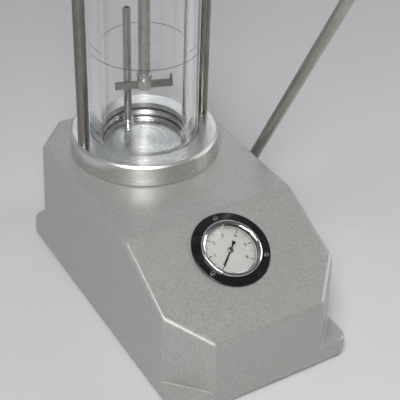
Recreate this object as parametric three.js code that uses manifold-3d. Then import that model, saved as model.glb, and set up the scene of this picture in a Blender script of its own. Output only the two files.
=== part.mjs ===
// Hand-pumped pressure chamber for testing the seals of a watch.
// Units are millimetres, +Z is up and -Y is the front, where the gauge faces the user.
// Everything is laid out from the chamber axis (x = 0, y = 0) with the floor at z = 0, and
// add() then shifts it so that the origin is the middle of the bounding box's bottom.
import * as THREE from 'three';
import { mergeVertices } from 'three/addons/utils/BufferGeometryUtils.js';
import Module from 'manifold-3d';

const wasm = await Module();
wasm.setup();

// ---------------------------------------------------------------- driving dimensions
const TOUCH = 0.05;              // gap between still parts that rest on each other
const FREE = 0.3;                // gap between round or slanted parts that pass each other
const SLIP = 0.2;                // radial gap of a pin, rod or tube in its bore
const PRESS = 0.15;              // radial gap of a pressed or clamped joint, which faceting needs

// cast housing
const HALF_W = 84.7;             // half width at the deck
const REAR_Y = 79.2;             // rear wall at the deck
const FRONT_Y = 222.7;           // front wall at the top of its face
const CREASE_Y = 120.9;          // front edge of the flat deck
const DECK_Z = 120.5;
const RIM_Z = 3;                 // bottom rim of the casting
const SLOPE = 0.49;              // fall of the gauge face per mm towards the front
const DRAFT = 0.023;             // casting taper of every wall
const CORNER_X = 32;             // width of the cut corners along X
const CORNER_Y = 34;             // and along Y
const CORNER_R = 6;              // rounding of the upright edges
const EDGE_R = 4;                // rounding of the top edges
const WALL = 4.5;
const DECK_T = 5;
const LEDGE_Z = 19.5;            // top of the low corner ledges
const LEDGE_R = 12;
const LEDGE_EDGE_R = 3;
const LEDGE_INSET = 0.2;
const PLATE_T = 1.5;
const PLATE_Z = 3.3;

// pressure chamber
const TUBE_OD = 100;
const TUBE_ID = 80;
const TUBE_GAP = 165;            // clear height between base ring and top flange
const RING_OVER = 19.2;           // base ring beyond the tube, all round
const RING_H = 21;
const RING_CHAMFER = 2.2;
const RECESS = 10;               // depth of the chamber floor below the base ring's face
const DRAIN_W = 1.4;             // groove round the edge of the chamber floor
const DRAIN_T = 1.5;
const GASKET_T = 3;
const SEAT_DEPTH = 3.5;          // depth of the groove that holds gasket and tube
const SEAT_GAP = 0.6;            // radial play of tube and gasket in the groove
const SPIGOT_R = 38;
const SPIGOT_L = 23;
const RING_NUT_W = 10;
const RING_NUT_H = 9;
const FLANGE_H = 16;
const PILLAR_OUT = 12;            // pillar axis from the outside of the tube
const PILLAR_D = 10.6;
const SPIGOT_D = 8;              // turned-down ends of the pillars
const AIR_X = -2;
const AIR_IN = 8.5;              // air tube's axis from the bore of the chamber
const AIR_D = 8;
const AIR_BORE = 5;
const AIR_TOP = 119.7;           // height of the air tube above the chamber floor

// lid and watch holder
const LID_BORE_R = 36;
const NECK_WALL = 8;
const NECK_H = 14;
const LID_T = 6;
const LOCK_WALL = 7.4;
const ROD_D = 10.6;
const BAR_ABOVE_RING = 47;
const BAR_LEN = 53;
const BAR_TURN = -18.7;          // degrees, as the bar was left
const HUB_UP = 13;
const HUB_DOWN = 4.2;
const ROD_ABOVE_LID = 48;        // end of the rod above the lid's boss, inside its knob

// gauge
const GAUGE_DOWN = 38.9;         // from the deck crease down the slope to the centre
const CASE_R = 26;
const FLANGE_W = 9.5;            // rim of the flange outside the case
const FLANGE_T = 2;
const BEZEL_OVER = 1.3;
const CASE_L = 28;
const SCREW_OUT = 5;             // flange screws from the outside of the case
const POINTER_ZERO = 133;        // degrees anticlockwise from up

// pump and lever
const PIVOT_PROUD = 3.5;         // pivot boss beyond the wall
const LEVER_OUT = 9.8;           // lever's axis from the face of the pivot boss
const PIVOT_Y = -17;
const PIVOT_Z = 58.5;
const LEVER_LEAN = 28.2;         // degrees forward from upright
const LEVER_D = 10.4;
const LEVER_END = 330;
const KNOB_R = 17;
const SHAFT_R = 6;
const BUSH_WALL = 3;
const HUB_WALL = 8;
const CRANK_R = 24;
const PIN_R = 4;
const PIN_PLAY = 0.45;
const YOKE_GAP = 5.2;            // pump axis from the inner face of the crank arm
const PISTON_R = 15;
const BARREL_R = 18;
const BARREL_Y0 = -150;          // front end of the pump barrel
const BARREL_Y1 = -62;
const PISTON_PLAY = 0.25;
const VALVE_PROUD = 2.9;         // valve boss beyond the wall
const VALVE_Y = 40;
const VALVE_Z = 62;

// ---------------------------------------------------------------- derived positions
const RAD = Math.PI / 180;
const RING_TOP = DECK_Z + RING_H;
const FLOOR_Z = RING_TOP - RECESS;
const SEAT_Z = RING_TOP - SEAT_DEPTH;
const TUBE_Z0 = SEAT_Z + GASKET_T;
const FLANGE_Z = RING_TOP + TUBE_GAP;
const FLANGE_TOP = FLANGE_Z + FLANGE_H;
const TUBE_Z1 = FLANGE_Z + SEAT_DEPTH - GASKET_T;
const NECK_TOP = FLANGE_TOP + NECK_H;
const BAR_Z = RING_TOP + BAR_ABOVE_RING;
const SLOPE_A = Math.atan(SLOPE);
const PUMP_Z = PIVOT_Z - CRANK_R;
const RING_R = TUBE_OD / 2 + RING_OVER;
const PILLAR_X = TUBE_OD / 2 + PILLAR_OUT;
const AIR_Y = TUBE_ID / 2 - AIR_IN;
const RING_NUT_R = SPIGOT_R + RING_NUT_W;
const NECK_R = LID_BORE_R + NECK_WALL;
const LOCK_R = NECK_R + LOCK_WALL;
const FLANGE_R = CASE_R + FLANGE_W;
const BEZEL_R = CASE_R + BEZEL_OVER;
const SCREW_PCR = CASE_R + SCREW_OUT;
const PIVOT_FACE = HALF_W + PIVOT_PROUD;
const PIVOT_INNER = PIVOT_FACE - 14.2;
const LEVER_X = PIVOT_FACE + LEVER_OUT;
const BUSH_R = SHAFT_R + BUSH_WALL;
const BUSH_RIM_R = BUSH_R + 3;
const PIVOT_BOSS_R = BUSH_R + 6;
const VALVE_FACE = HALF_W + VALVE_PROUD;
const SHAFT_X0 = PIVOT_FACE - 29.2;
const ARM_X0 = SHAFT_X0 + 0.2;
const PUMP_X = ARM_X0 - YOKE_GAP;
const SIDE_X = LEVER_X + KNOB_R;
const BASE_HALF_W = HALF_W + DRAFT * (DECK_Z - RIM_Z);
const FRONT_TOP_Z = DECK_Z - SLOPE * (FRONT_Y - CREASE_Y);
const BASE_FRONT = FRONT_Y + DRAFT * (FRONT_TOP_Z - RIM_Z);
const BASE_REAR = REAR_Y + DRAFT * (DECK_Z - RIM_Z);
const ORIGIN_X = (SIDE_X - BASE_HALF_W) / 2;
const ORIGIN_Y = (BASE_REAR - BASE_FRONT) / 2;

// ---------------------------------------------------------------- solid helpers
const V2 = (x, y) => new THREE.Vector2(x, y);
const V3 = (x, y, z) => new THREE.Vector3(x, y, z);

// geometry to solid, turned inside out when its faces point inwards
function solid(geometry) {
  const bare = geometry.clone();
  for (const name of ['normal', 'uv']) bare.deleteAttribute(name);
  const merged = mergeVertices(bare, 1e-4);
  const pos = merged.attributes.position.array;
  const index = Array.from(merged.index.array);
  let volume = 0;
  for (let i = 0; i < index.length; i += 3) {
    const [a, b, c] = [0, 1, 2].map((k) => V3().fromArray(pos, 3 * index[i + k]));
    volume += a.dot(b.cross(c));
  }
  const tris = [];
  for (let i = 0; i < index.length; i += 3) {
    const [a, b, c] = index.slice(i, i + 3);
    if (a === b || b === c || a === c) continue;
    tris.push(a, volume < 0 ? c : b, volume < 0 ? b : c);
  }
  return new wasm.Manifold(new wasm.Mesh({
    numProp: 3, vertProperties: new Float32Array(pos), triVerts: new Uint32Array(tris),
  }));
}

// solid back to geometry
function skinOf(body) {
  const { vertProperties, triVerts } = body.getMesh();
  const geometry = new THREE.BufferGeometry();
  geometry.setAttribute('position', new THREE.Float32BufferAttribute(Array.from(vertProperties), 3));
  geometry.setIndex(Array.from(triVerts));
  return geometry;
}

function join(...solids) {
  return solids.reduce((sum, next) => sum.add(next));
}

function cut(body, ...tools) {
  return tools.reduce((rest, tool) => rest.subtract(tool), body);
}

// solid turned from [radius, height] points about Z, closed on itself or on the axis
function turned(points, sides = 30) {
  const geometry = new THREE.LatheGeometry(points.map(([r, z]) => V2(r, z)), sides);
  return geometry.rotateX(Math.PI / 2);
}

function ring(rIn, rOut, z0, z1, sides = 30) {
  return turned([[rIn, z0], [rOut, z0], [rOut, z1], [rIn, z1], [rIn, z0]], sides);
}

function disc(r, z0, z1, sides = 30) {
  return turned([[0, z0], [r, z0], [r, z1], [0, z1]], sides);
}

function hex(acrossFlats, z0, z1) {
  return disc(acrossFlats / 2 / Math.cos(Math.PI / 6), z0, z1, 6);
}

function box(x0, x1, y0, y1, z0, z1) {
  const geometry = new THREE.BoxGeometry(x1 - x0, y1 - y0, z1 - z0);
  return geometry.translate((x0 + x1) / 2, (y0 + y1) / 2, (z0 + z1) / 2);
}

// the same shape with its own Z laid along +X or +Y
const alongX = (geometry) => geometry.rotateY(Math.PI / 2);
const alongY = (geometry) => geometry.rotateX(-Math.PI / 2);

// hollow pipe swept along a smooth path through the points
function pipe(points, rOut, rIn, steps) {
  const section = new THREE.Shape().absarc(0, 0, rOut, 0, 2 * Math.PI);
  section.holes.push(new THREE.Path().absarc(0, 0, rIn, 0, 2 * Math.PI, true));
  const path = new THREE.CatmullRomCurve3(points.map((p) => V3(...p)), false, 'centripetal');
  return new THREE.ExtrudeGeometry(section, {
    steps, bevelEnabled: false, curveSegments: 4, extrudePath: path,
  });
}

// closed skin through stacked loops of equal length, its ends closed by the given caps
function loft(loops, bottomCaps, topCaps) {
  const count = loops[0].length;
  const index = [];
  for (let k = 0; k + 1 < loops.length; k += 1) {
    for (let i = 0; i < count; i += 1) {
      const j = (i + 1) % count;
      const [a, b, c, d] = [k * count + i, k * count + j, (k + 1) * count + j, (k + 1) * count + i];
      index.push(a, b, c, a, c, d);
    }
  }
  const cap = (loop, ids, flip) => {
    const faces = THREE.ShapeUtils.triangulateShape(ids.map((i) => V2(loop[i].x, loop[i].y)), []);
    const base = loops.indexOf(loop) * count;
    for (const [a, b, c] of faces) {
      const tri = [ids[a], ids[b], ids[c]].map((i) => base + i);
      index.push(...(flip ? tri.reverse() : tri));
    }
  };
  for (const ids of bottomCaps) cap(loops[0], ids, true);
  for (const ids of topCaps) cap(loops[loops.length - 1], ids, false);
  const geometry = new THREE.BufferGeometry();
  const flat = loops.flat().flatMap((p) => [p.x, p.y, p.z]);
  geometry.setAttribute('position', new THREE.Float32BufferAttribute(flat, 3));
  geometry.setIndex(index);
  return geometry;
}

// ---------------------------------------------------------------- parts list
const group = new THREE.Group();
group.name = 'pressure_tester';

function add(name, body, colour, roughness, metalness) {
  const source = body instanceof THREE.BufferGeometry ? solid(body) : body;
  const faceted = skinOf(source).translate(-ORIGIN_X, -ORIGIN_Y, 0).toNonIndexed();
  faceted.computeVertexNormals();
  const material = new THREE.MeshStandardMaterial({ color: colour, roughness, metalness });
  material.name = name;
  const mesh = new THREE.Mesh(faceted, material);
  mesh.name = name;
  group.add(mesh);
}

const paint = (name, body) => add(name, body, 0xa9aaa6, 0.45, 0.3);
const steel = (name, body) => add(name, body, 0x8c8a86, 0.3, 1);
const satin = (name, body) => add(name, body, 0xb4b5b4, 0.28, 1);
const chrome = (name, body) => add(name, body, 0xc8cacc, 0.1, 1);
const brass = (name, body) => add(name, body, 0xb08d4c, 0.35, 1);
const rubber = (name, body) => add(name, body, 0x1c1c1c, 0.8, 0);
const black = (name, body) => add(name, body, 0x101214, 0.3, 0);

// ---------------------------------------------------------------- cast housing
const wallAt = (z) => HALF_W + DRAFT * (DECK_Z - z);

// Corner points of the eight-sided plan, drawn in by e, at height z: each is where two
// neighbouring walls meet. Walls are listed anticlockwise as [normal x, normal y, distance].
function walls(z, e, cutCorners) {
  const w = wallAt(z) - e;
  const rear = REAR_Y + DRAFT * (DECK_Z - z) - e;
  const front = FRONT_Y + DRAFT * (FRONT_TOP_Z - z) - e;
  const sides = { right: [1, 0, w], rear: [0, 1, rear], left: [-1, 0, w], front: [0, -1, front] };
  if (!cutCorners) return [sides.right, sides.rear, sides.left, sides.front];
  const long = Math.hypot(CORNER_X, CORNER_Y);
  const [nx, ny] = [CORNER_Y / long, CORNER_X / long];
  const corner = (sx, sy, y) => [sx * nx, sy * ny, (w + e - CORNER_X) * nx + (y + e) * ny - e];
  return [
    sides.right, corner(1, 1, rear), sides.rear, corner(-1, 1, rear),
    sides.left, corner(-1, -1, front), sides.front, corner(1, -1, front),
  ];
}

function planPoints(z, e, cutCorners, radius, steps) {
  const lines = walls(z, e, cutCorners);
  const meet = ([a, b, c], [d, f, g]) => V2((c * f - g * b) / (a * f - b * d),
    (a * g - c * d) / (a * f - b * d));
  const count = lines.length;
  const points = [];
  for (let i = 0; i < count; i += 1) {
    const [n0, n1] = [lines[i], lines[(i + 1) % count]];
    const tip = meet(n0, n1);
    const turn = Math.acos(n0[0] * n1[0] + n0[1] * n1[1]);
    const back = radius * Math.tan(turn / 2);
    const from = V2(tip.x + n0[1] * back, tip.y - n0[0] * back);
    const centre = V2(from.x - n0[0] * radius, from.y - n0[1] * radius);
    const start = Math.atan2(n0[1], n0[0]);
    for (let k = 0; k <= steps; k += 1) {
      const angle = start + (turn * k) / steps;
      points.push(V2(centre.x + radius * Math.cos(angle), centre.y + radius * Math.sin(angle)));
    }
  }
  return points;
}

// Plan loop laid on the deck and the slope, sunk by drop, with two extra points on each
// long wall where the deck's front edge is rounded into the slope.
const CREASE_ROUND = 4;
function topHeight(y, crease) {
  if (y >= -crease + CREASE_ROUND) return DECK_Z;
  if (y <= -crease - CREASE_ROUND) return DECK_Z + SLOPE * (y + crease);
  const s = (-crease + CREASE_ROUND - y) / (4 * CREASE_ROUND);
  return DECK_Z - SLOPE * 4 * CREASE_ROUND * s * s;
}

const CREASE_STEPS = [-1, 0, 1];
const PLAN_STEPS = 2;            // facets of each rounded upright edge
const PLAN_HALF = 4 * (PLAN_STEPS + 1);
function drapedLoop(e, drop, crease, radius) {
  const at = (z) => planPoints(z, e, true, radius, PLAN_STEPS);
  const settle = (i) => {
    let z = DECK_Z;
    for (let k = 0; k < 4; k += 1) z = topHeight(at(z)[i].y, crease) - drop;
    return V3(at(z)[i].x, at(z)[i].y, z);
  };
  const loop = at(DECK_Z).map((_, i) => settle(i));
  const wallPoint = (side, t) => {
    const y = -crease + CREASE_ROUND * t;
    const z = topHeight(y, crease) - drop;
    return V3(side * (wallAt(z) - e), y, z);
  };
  const left = CREASE_STEPS.map((t) => wallPoint(-1, -t));
  const right = CREASE_STEPS.map((t) => wallPoint(1, t));
  return [...loop.slice(0, PLAN_HALF), ...left, ...loop.slice(PLAN_HALF), ...right];
}

function flatLoop(z, e, crease, radius) {
  const plan = planPoints(z, e, true, radius, PLAN_STEPS);
  const n = CREASE_STEPS.length;
  return drapedLoop(e, 0, crease, radius).map((p, i) => {
    if (i >= PLAN_HALF && i < PLAN_HALF + n) return V3(-(wallAt(z) - e), p.y, z);
    if (i >= plan.length + n) return V3(wallAt(z) - e, p.y, z);
    const k = i < PLAN_HALF ? i : i - n;
    return V3(plan[k].x, plan[k].y, z);
  });
}

function range(from, to) {
  return Array.from({ length: to - from }, (_, i) => from + i);
}

// caps of a draped loop: the deck, the strips of the rounded crease, and the slope
function drapedCaps() {
  const n = CREASE_STEPS.length;
  const half = PLAN_HALF;
  const last = 2 * half + 2 * n - 1;
  const caps = [[...range(0, half + 1), last]];
  for (let k = 0; k + 1 < n; k += 1) {
    caps.push([half + k, half + k + 1, last - 1 - k, last - k]);
  }
  caps.push(range(half + n - 1, 2 * half + n + 1));
  return caps;
}

function drapedSolid(z0, e, drop, crease, radius, edge) {
  const loops = [flatLoop(z0, e, crease, radius)];
  const steps = edge > 0 ? 2 : 0;
  for (let k = 0; k <= steps; k += 1) {
    const a = steps ? (k / steps) * 90 * RAD : 0;
    const inward = edge * (1 - Math.cos(a));
    const down = edge * (1 - Math.sin(a)) + drop;
    loops.push(drapedLoop(e + inward, down, crease, Math.max(radius - inward, 0.8)));
  }
  return solid(loft(loops, [range(0, loops[0].length)], drapedCaps()));
}

function planPrism(z0, z1, e) {
  const loops = [z0, z1].map((z) => planPoints(z0, e, true, 3, 1).map((p) => V3(p.x, p.y, z)));
  const all = range(0, loops[0].length);
  return solid(loft(loops, [all], [all]));
}

function ledgeSlab() {
  const loops = [RIM_Z, LEDGE_Z - LEDGE_EDGE_R].map((z) => [z, 0]);
  loops.push([LEDGE_Z - 0.3 * LEDGE_EDGE_R, 0.3 * LEDGE_EDGE_R], [LEDGE_Z, LEDGE_EDGE_R]);
  const rings = loops.map(([z, e]) => planPoints(z, e + LEDGE_INSET, false, LEDGE_R - e, 4)
    .map((p) => V3(p.x, p.y, z)));
  const all = range(0, rings[0].length);
  return solid(loft(rings, [all], [all]));
}

const cornerFeet = [[1, 1], [-1, 1], [-1, -1], [1, -1]].map(([sx, sy]) => {
  const reach = sy > 0 ? BASE_REAR : BASE_FRONT;
  return [sx * (BASE_HALF_W - LEDGE_R), sy * (reach - LEDGE_R)];
});
const FOOT_R = 10.5;
const STEM_R = 4;
const STEM_TOP = 11;
const BOSS_R = 6;
const plateScrews = [[1, 1], [-1, 1], [-1, -1], [1, -1]].map(([sx, sy]) => {
  const reach = sy > 0 ? REAR_Y : FRONT_Y;
  return [sx * (HALF_W - CORNER_X / 2 - 5), sy * (reach - CORNER_Y / 2 - 4.7)];
});

// gauge frame: x across the face, y up the slope, z out of the face
const gaugeFrame = new THREE.Matrix4().makeRotationX(SLOPE_A).setPosition(
  0,
  -CREASE_Y - GAUGE_DOWN * Math.cos(SLOPE_A),
  DECK_Z - GAUGE_DOWN * Math.sin(SLOPE_A),
);
const onFace = (geometry) => geometry.applyMatrix4(gaugeFrame);
const faceScrews = [90, 210, 330].map((a) => [
  SCREW_PCR * Math.cos(a * RAD), SCREW_PCR * Math.sin(a * RAD),
]);

const VALVE_R = 7;
const VALVE_BOSS_R = 12;
const BOSS_FOOT = HALF_W - WALL;
const SCREW_BORE = 1.9;          // clearance for the M3 screws
const HOLE_BOTTOM = -14;         // how far the gauge face's holes are bored into the casting

function housing() {
  const skin = drapedSolid(RIM_Z, 0, 0, CREASE_Y, CORNER_R, EDGE_R);
  const boss = (y, z, r, x0, x1) => solid(alongX(disc(r, x0, x1, 32)).translate(0, y, z));
  const outside = join(
    skin,
    ledgeSlab(),
    boss(PIVOT_Y, PIVOT_Z, PIVOT_BOSS_R, BOSS_FOOT, PIVOT_FACE),
    boss(VALVE_Y, VALVE_Z, VALVE_BOSS_R, BOSS_FOOT, VALVE_FACE),
  );
  const shiftIn = CREASE_Y - DECK_T * Math.tan(SLOPE_A / 2);
  const hollow = drapedSolid(PLATE_Z + PLATE_T - 0.5, WALL, DECK_T, shiftIn, 3, 0);
  const rebate = planPrism(RIM_Z - 1, PLATE_Z + PLATE_T, 2.8);
  let body = cut(outside, hollow, rebate);
  const inner = plateScrews.map(([x, y]) => solid(
    disc(BOSS_R, PLATE_Z + PLATE_T + TOUCH, 24, 16).translate(x, y, 0)));
  inner.push(boss(PIVOT_Y, PIVOT_Z, PIVOT_BOSS_R - 1, PIVOT_INNER, HALF_W));
  body = join(body, ...inner);
  const holes = [
    disc(SPIGOT_R + FREE, DECK_Z - 12, DECK_Z + 5, 36),
    onFace(disc(CASE_R + 0.4, HOLE_BOTTOM, 8, 36)),
    ...faceScrews.map(([x, y]) => onFace(disc(SCREW_BORE, HOLE_BOTTOM, 4, 10).translate(x, y, 0))),
    alongX(disc(BUSH_R + FREE, PIVOT_INNER - 9, PIVOT_FACE + 9, 32)).translate(0, PIVOT_Y, PIVOT_Z),
    alongX(disc(VALVE_R + FREE, PIVOT_INNER - 9, VALVE_FACE + 9, 24)).translate(0, VALVE_Y, VALVE_Z),
    ...cornerFeet.map(([x, y]) => disc(STEM_R + FREE, 0, STEM_TOP + 0.5, 12).translate(x, y, 0)),
    ...plateScrews.map(([x, y]) => disc(SCREW_BORE, 0, 16, 10).translate(x, y, 0)),
  ];
  return cut(body, ...holes.map((h) => solid(h)));
}
paint('housing', housing());

function bottomPlate() {
  const sheet = planPrism(PLATE_Z, PLATE_Z + PLATE_T - TOUCH, 3.2);
  return cut(sheet, ...plateScrews.map(([x, y]) => solid(disc(SCREW_BORE + FREE, 0, 9, 12)
    .translate(x, y, 0))));
}
satin('bottom_plate', bottomPlate());

cornerFeet.forEach(([x, y], i) => {
  const foot = turned([
    [0, 0], [FOOT_R - 1.2, 0], [FOOT_R, 1.2], [FOOT_R, RIM_Z - TOUCH],
    [STEM_R, RIM_Z - TOUCH], [STEM_R, STEM_TOP - 1], [STEM_R - 1, STEM_TOP], [0, STEM_TOP],
  ], 16);
  rubber(`foot_${i + 1}`, foot.translate(x, y, 0));
});

// pan-head screw: head below z = 0, shank up to length
function screw(headR, headH, shankR, length, sides = 10) {
  return turned([
    [0, -headH], [headR * 0.75, -headH], [headR, -headH * 0.5], [headR, 0],
    [shankR, 0], [shankR, length], [0, length],
  ], sides);
}

plateScrews.forEach(([x, y], i) => {
  const z = PLATE_Z - TOUCH;
  steel(`plate_screw_${i + 1}`, screw(3.5, 1.9, 1.6, 12).translate(x, y, z));
});

// ---------------------------------------------------------------- chamber
const tubeR = TUBE_OD / 2;
const boreR = TUBE_ID / 2;
const PILLAR_FOOT = RING_TOP - 13;
const AIR_FOOT = FLOOR_Z - 5.9;

function chamberBase() {
  const r = RING_R;
  const c = RING_CHAMFER;
  const base = DECK_Z + TOUCH;
  const block = solid(turned([
    [0, DECK_Z - SPIGOT_L], [SPIGOT_R, DECK_Z - SPIGOT_L], [SPIGOT_R, base], [r, base],
    [r, RING_TOP - c], [r - c, RING_TOP], [tubeR + SEAT_GAP, RING_TOP],
    [tubeR + SEAT_GAP, SEAT_Z], [boreR + 0.2, SEAT_Z], [boreR + 0.2, FLOOR_Z - DRAIN_T],
    [boreR - DRAIN_W, FLOOR_Z - DRAIN_T], [boreR - DRAIN_W, FLOOR_Z], [0, FLOOR_Z],
  ], 44));
  const holes = [
    disc(AIR_D / 2 + SLIP, AIR_FOOT - 0.1, FLOOR_Z + 2, 16).translate(AIR_X, AIR_Y, 0),
    disc(AIR_BORE / 2, DECK_Z - SPIGOT_L - 2, FLOOR_Z, 12).translate(AIR_X, AIR_Y, 0),
    ...[-1, 1].map((s) => disc(SPIGOT_D / 2 + SLIP, PILLAR_FOOT - 1, RING_TOP + 2, 20)
      .translate(s * PILLAR_X, 0, 0)),
  ];
  return cut(block, ...holes.map((h) => solid(h)));
}
satin('chamber_base', chamberBase());

function ringNut() {
  const z1 = DECK_Z - DECK_T - 0.4;
  const body = solid(ring(SPIGOT_R + FREE, RING_NUT_R, z1 - RING_NUT_H, z1, 36));
  const slots = [0, 45, 90, 135].map((a) => solid(
    box(-RING_NUT_R - 5, RING_NUT_R + 5, -3, 3, z1 - RING_NUT_H - 2, z1 - RING_NUT_H + 3)
      .rotateZ(a * RAD)));
  return cut(body, ...slots);
}
steel('base_ring_nut', ringNut());

rubber('lower_gasket', ring(boreR, tubeR, SEAT_Z + TOUCH, TUBE_Z0 - TOUCH, 48));
add('acrylic_tube', ring(boreR, tubeR, TUBE_Z0, TUBE_Z1, 48), 0xe8f2f4, 0.03, 0);
rubber('upper_gasket', ring(boreR, tubeR, TUBE_Z1 + TOUCH, TUBE_Z1 + GASKET_T - TOUCH, 48));

function topFlange() {
  const r = RING_R;
  const c = RING_CHAMFER;
  const groove = FLANGE_Z + SEAT_DEPTH;
  const block = solid(turned([
    [LID_BORE_R, groove], [tubeR + SEAT_GAP, groove], [tubeR + SEAT_GAP, FLANGE_Z], [r - c, FLANGE_Z],
    [r, FLANGE_Z + c], [r, FLANGE_TOP - c], [r - c, FLANGE_TOP], [NECK_R, FLANGE_TOP],
    [NECK_R, NECK_TOP - 1], [NECK_R - 1, NECK_TOP], [LID_BORE_R, NECK_TOP], [LID_BORE_R, groove],
  ], 40));
  return cut(block, ...[-1, 1].map((s) => solid(
    disc(SPIGOT_D / 2 + SLIP, FLANGE_Z - 2, FLANGE_TOP + 2, 20).translate(s * PILLAR_X, 0, 0))));
}
satin('top_flange', topFlange());

const PILLAR_END = 10;
[['left', -1], ['right', 1]].forEach(([side, s]) => {
  const [r, e] = [PILLAR_D / 2, SPIGOT_D / 2];
  steel(`pillar_${side}`, turned([
    [0, PILLAR_FOOT], [e, PILLAR_FOOT], [e, RING_TOP + TOUCH], [r, RING_TOP + TOUCH],
    [r, FLANGE_Z - TOUCH], [e, FLANGE_Z - TOUCH], [e, FLANGE_TOP + PILLAR_END],
    [0, FLANGE_TOP + PILLAR_END],
  ], 18).translate(s * PILLAR_X, 0, 0));
  const z = FLANGE_TOP + TOUCH;
  const nut = cut(
    join(solid(hex(12, z, z + 7)), solid(turned([
      [0, z + 3], [5.6, z + 3], [5.6, z + 7.5], [5.1, z + 10], [3.4, z + 12.4], [0, z + 13.4],
    ], 18))),
    solid(disc(e + SLIP, z - 1, FLANGE_TOP + PILLAR_END + 0.4, 20)),
  );
  chrome(`pillar_nut_${side}`, skinOf(nut).translate(s * PILLAR_X, 0, 0));
});

steel('air_tube', ring(AIR_BORE / 2, AIR_D / 2, AIR_FOOT, FLOOR_Z + AIR_TOP, 16)
  .translate(AIR_X, AIR_Y, 0));
const AIR_NUT_H = 6;
const AIR_NUT_R = AIR_D / 2 + 2.6;
const airNutIn = AIR_D / 2 + SLIP;
steel('air_tube_nut', turned([
  [airNutIn, FLOOR_Z + TOUCH], [AIR_NUT_R, FLOOR_Z + TOUCH], [AIR_NUT_R, FLOOR_Z + 2.5],
  [AIR_NUT_R - 1.2, FLOOR_Z + 3], [AIR_NUT_R - 1.2, FLOOR_Z + AIR_NUT_H],
  [airNutIn, FLOOR_Z + AIR_NUT_H], [airNutIn, FLOOR_Z + TOUCH],
], 16).translate(AIR_X, AIR_Y, 0));

// ---------------------------------------------------------------- lid and watch holder
const LID_Z = NECK_TOP + TOUCH;
const LID_BOSS_H = 20;
const BOSS_TOP = LID_Z + LID_T + LID_BOSS_H;
const ROD_TOP = BOSS_TOP + ROD_ABOVE_LID;
const GLAND_R = ROD_D / 2 + 6.7;
const rodBore = ROD_D / 2 + SLIP;
const PLUG_R = LID_BORE_R - 0.4;
const SEAL_R = 2.6;

const plugZ = FLANGE_TOP;
const SEAL_Z = plugZ + 3;
const SEAL_H = 3.6;

steel('lid', turned([
  [rodBore, plugZ], [PLUG_R, plugZ], [PLUG_R, SEAL_Z], [PLUG_R - SEAL_R, SEAL_Z],
  [PLUG_R - SEAL_R, SEAL_Z + SEAL_H], [PLUG_R, SEAL_Z + SEAL_H], [PLUG_R, LID_Z],
  [NECK_R - 0.5, LID_Z], [NECK_R - 0.5, LID_Z + LID_T], [GLAND_R, LID_Z + LID_T],
  [GLAND_R, BOSS_TOP], [rodBore, BOSS_TOP], [rodBore, plugZ],
], 30));
rubber('lid_seal', turned([
  [PLUG_R - SEAL_R + 0.1, SEAL_Z + 0.1], [PLUG_R - 0.4, SEAL_Z + 0.1],
  [PLUG_R + 0.1, SEAL_Z + SEAL_H / 2], [PLUG_R - 0.4, SEAL_Z + SEAL_H - 0.1],
  [PLUG_R - SEAL_R + 0.1, SEAL_Z + SEAL_H - 0.1], [PLUG_R - SEAL_R + 0.1, SEAL_Z + 0.1],
], 30));

// knurled ring that screws down over the neck and holds the lid under its lip
function lockRing() {
  const z0 = FLANGE_TOP + 1.5;
  const lip = LID_Z + LID_T + FREE;
  const body = solid(turned([
    [NECK_R + 0.4, z0], [LOCK_R - 1.5, z0], [LOCK_R, z0 + 1.5], [LOCK_R, lip + 3.5],
    [LOCK_R - 2, lip + 5.5], [NECK_R - 6, lip + 5.5], [NECK_R - 6, lip], [NECK_R + 0.4, lip],
    [NECK_R + 0.4, z0],
  ], 30));
  const flutes = range(0, 12).map((i) => solid(disc(4, z0 - 1, lip + 7, 10)
    .translate(LOCK_R + 2.4, 0, 0).rotateZ(i * 30 * RAD)));
  return cut(body, ...flutes);
}
satin('lock_ring', lockRing());

const GLAND_Z = BOSS_TOP - 12;
const GLAND_H = 17;
const GLAND_OUT = GLAND_R + 5;
steel('gland_nut', turned([
  [GLAND_R + FREE, GLAND_Z], [GLAND_OUT - 1, GLAND_Z], [GLAND_OUT, GLAND_Z + 1],
  [GLAND_OUT, GLAND_Z + GLAND_H - 1], [GLAND_OUT - 1, GLAND_Z + GLAND_H],
  [rodBore, GLAND_Z + GLAND_H], [rodBore, BOSS_TOP + 0.4], [GLAND_R + FREE, BOSS_TOP + 0.4],
  [GLAND_R + FREE, GLAND_Z],
], 24));

const ROD_FOOT = BAR_Z + 4.3;
const GRIP_R = 16.5;
steel('holder_rod', disc(ROD_D / 2, ROD_FOOT, ROD_TOP, 24));
black('rod_knob', cut(
  solid(turned([
    [0, ROD_TOP - 12], [ROD_D / 2 + 2.7, ROD_TOP - 12], [ROD_D / 2 + 3.7, ROD_TOP - 6],
    [GRIP_R - 1.3, ROD_TOP], [GRIP_R, ROD_TOP + 6], [GRIP_R - 2, ROD_TOP + 12],
    [GRIP_R / 2, ROD_TOP + 16.5], [0, ROD_TOP + 17.5],
  ], 24)),
  solid(disc(rodBore, ROD_TOP - 14, ROD_TOP + FREE, 24)),
));

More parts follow.
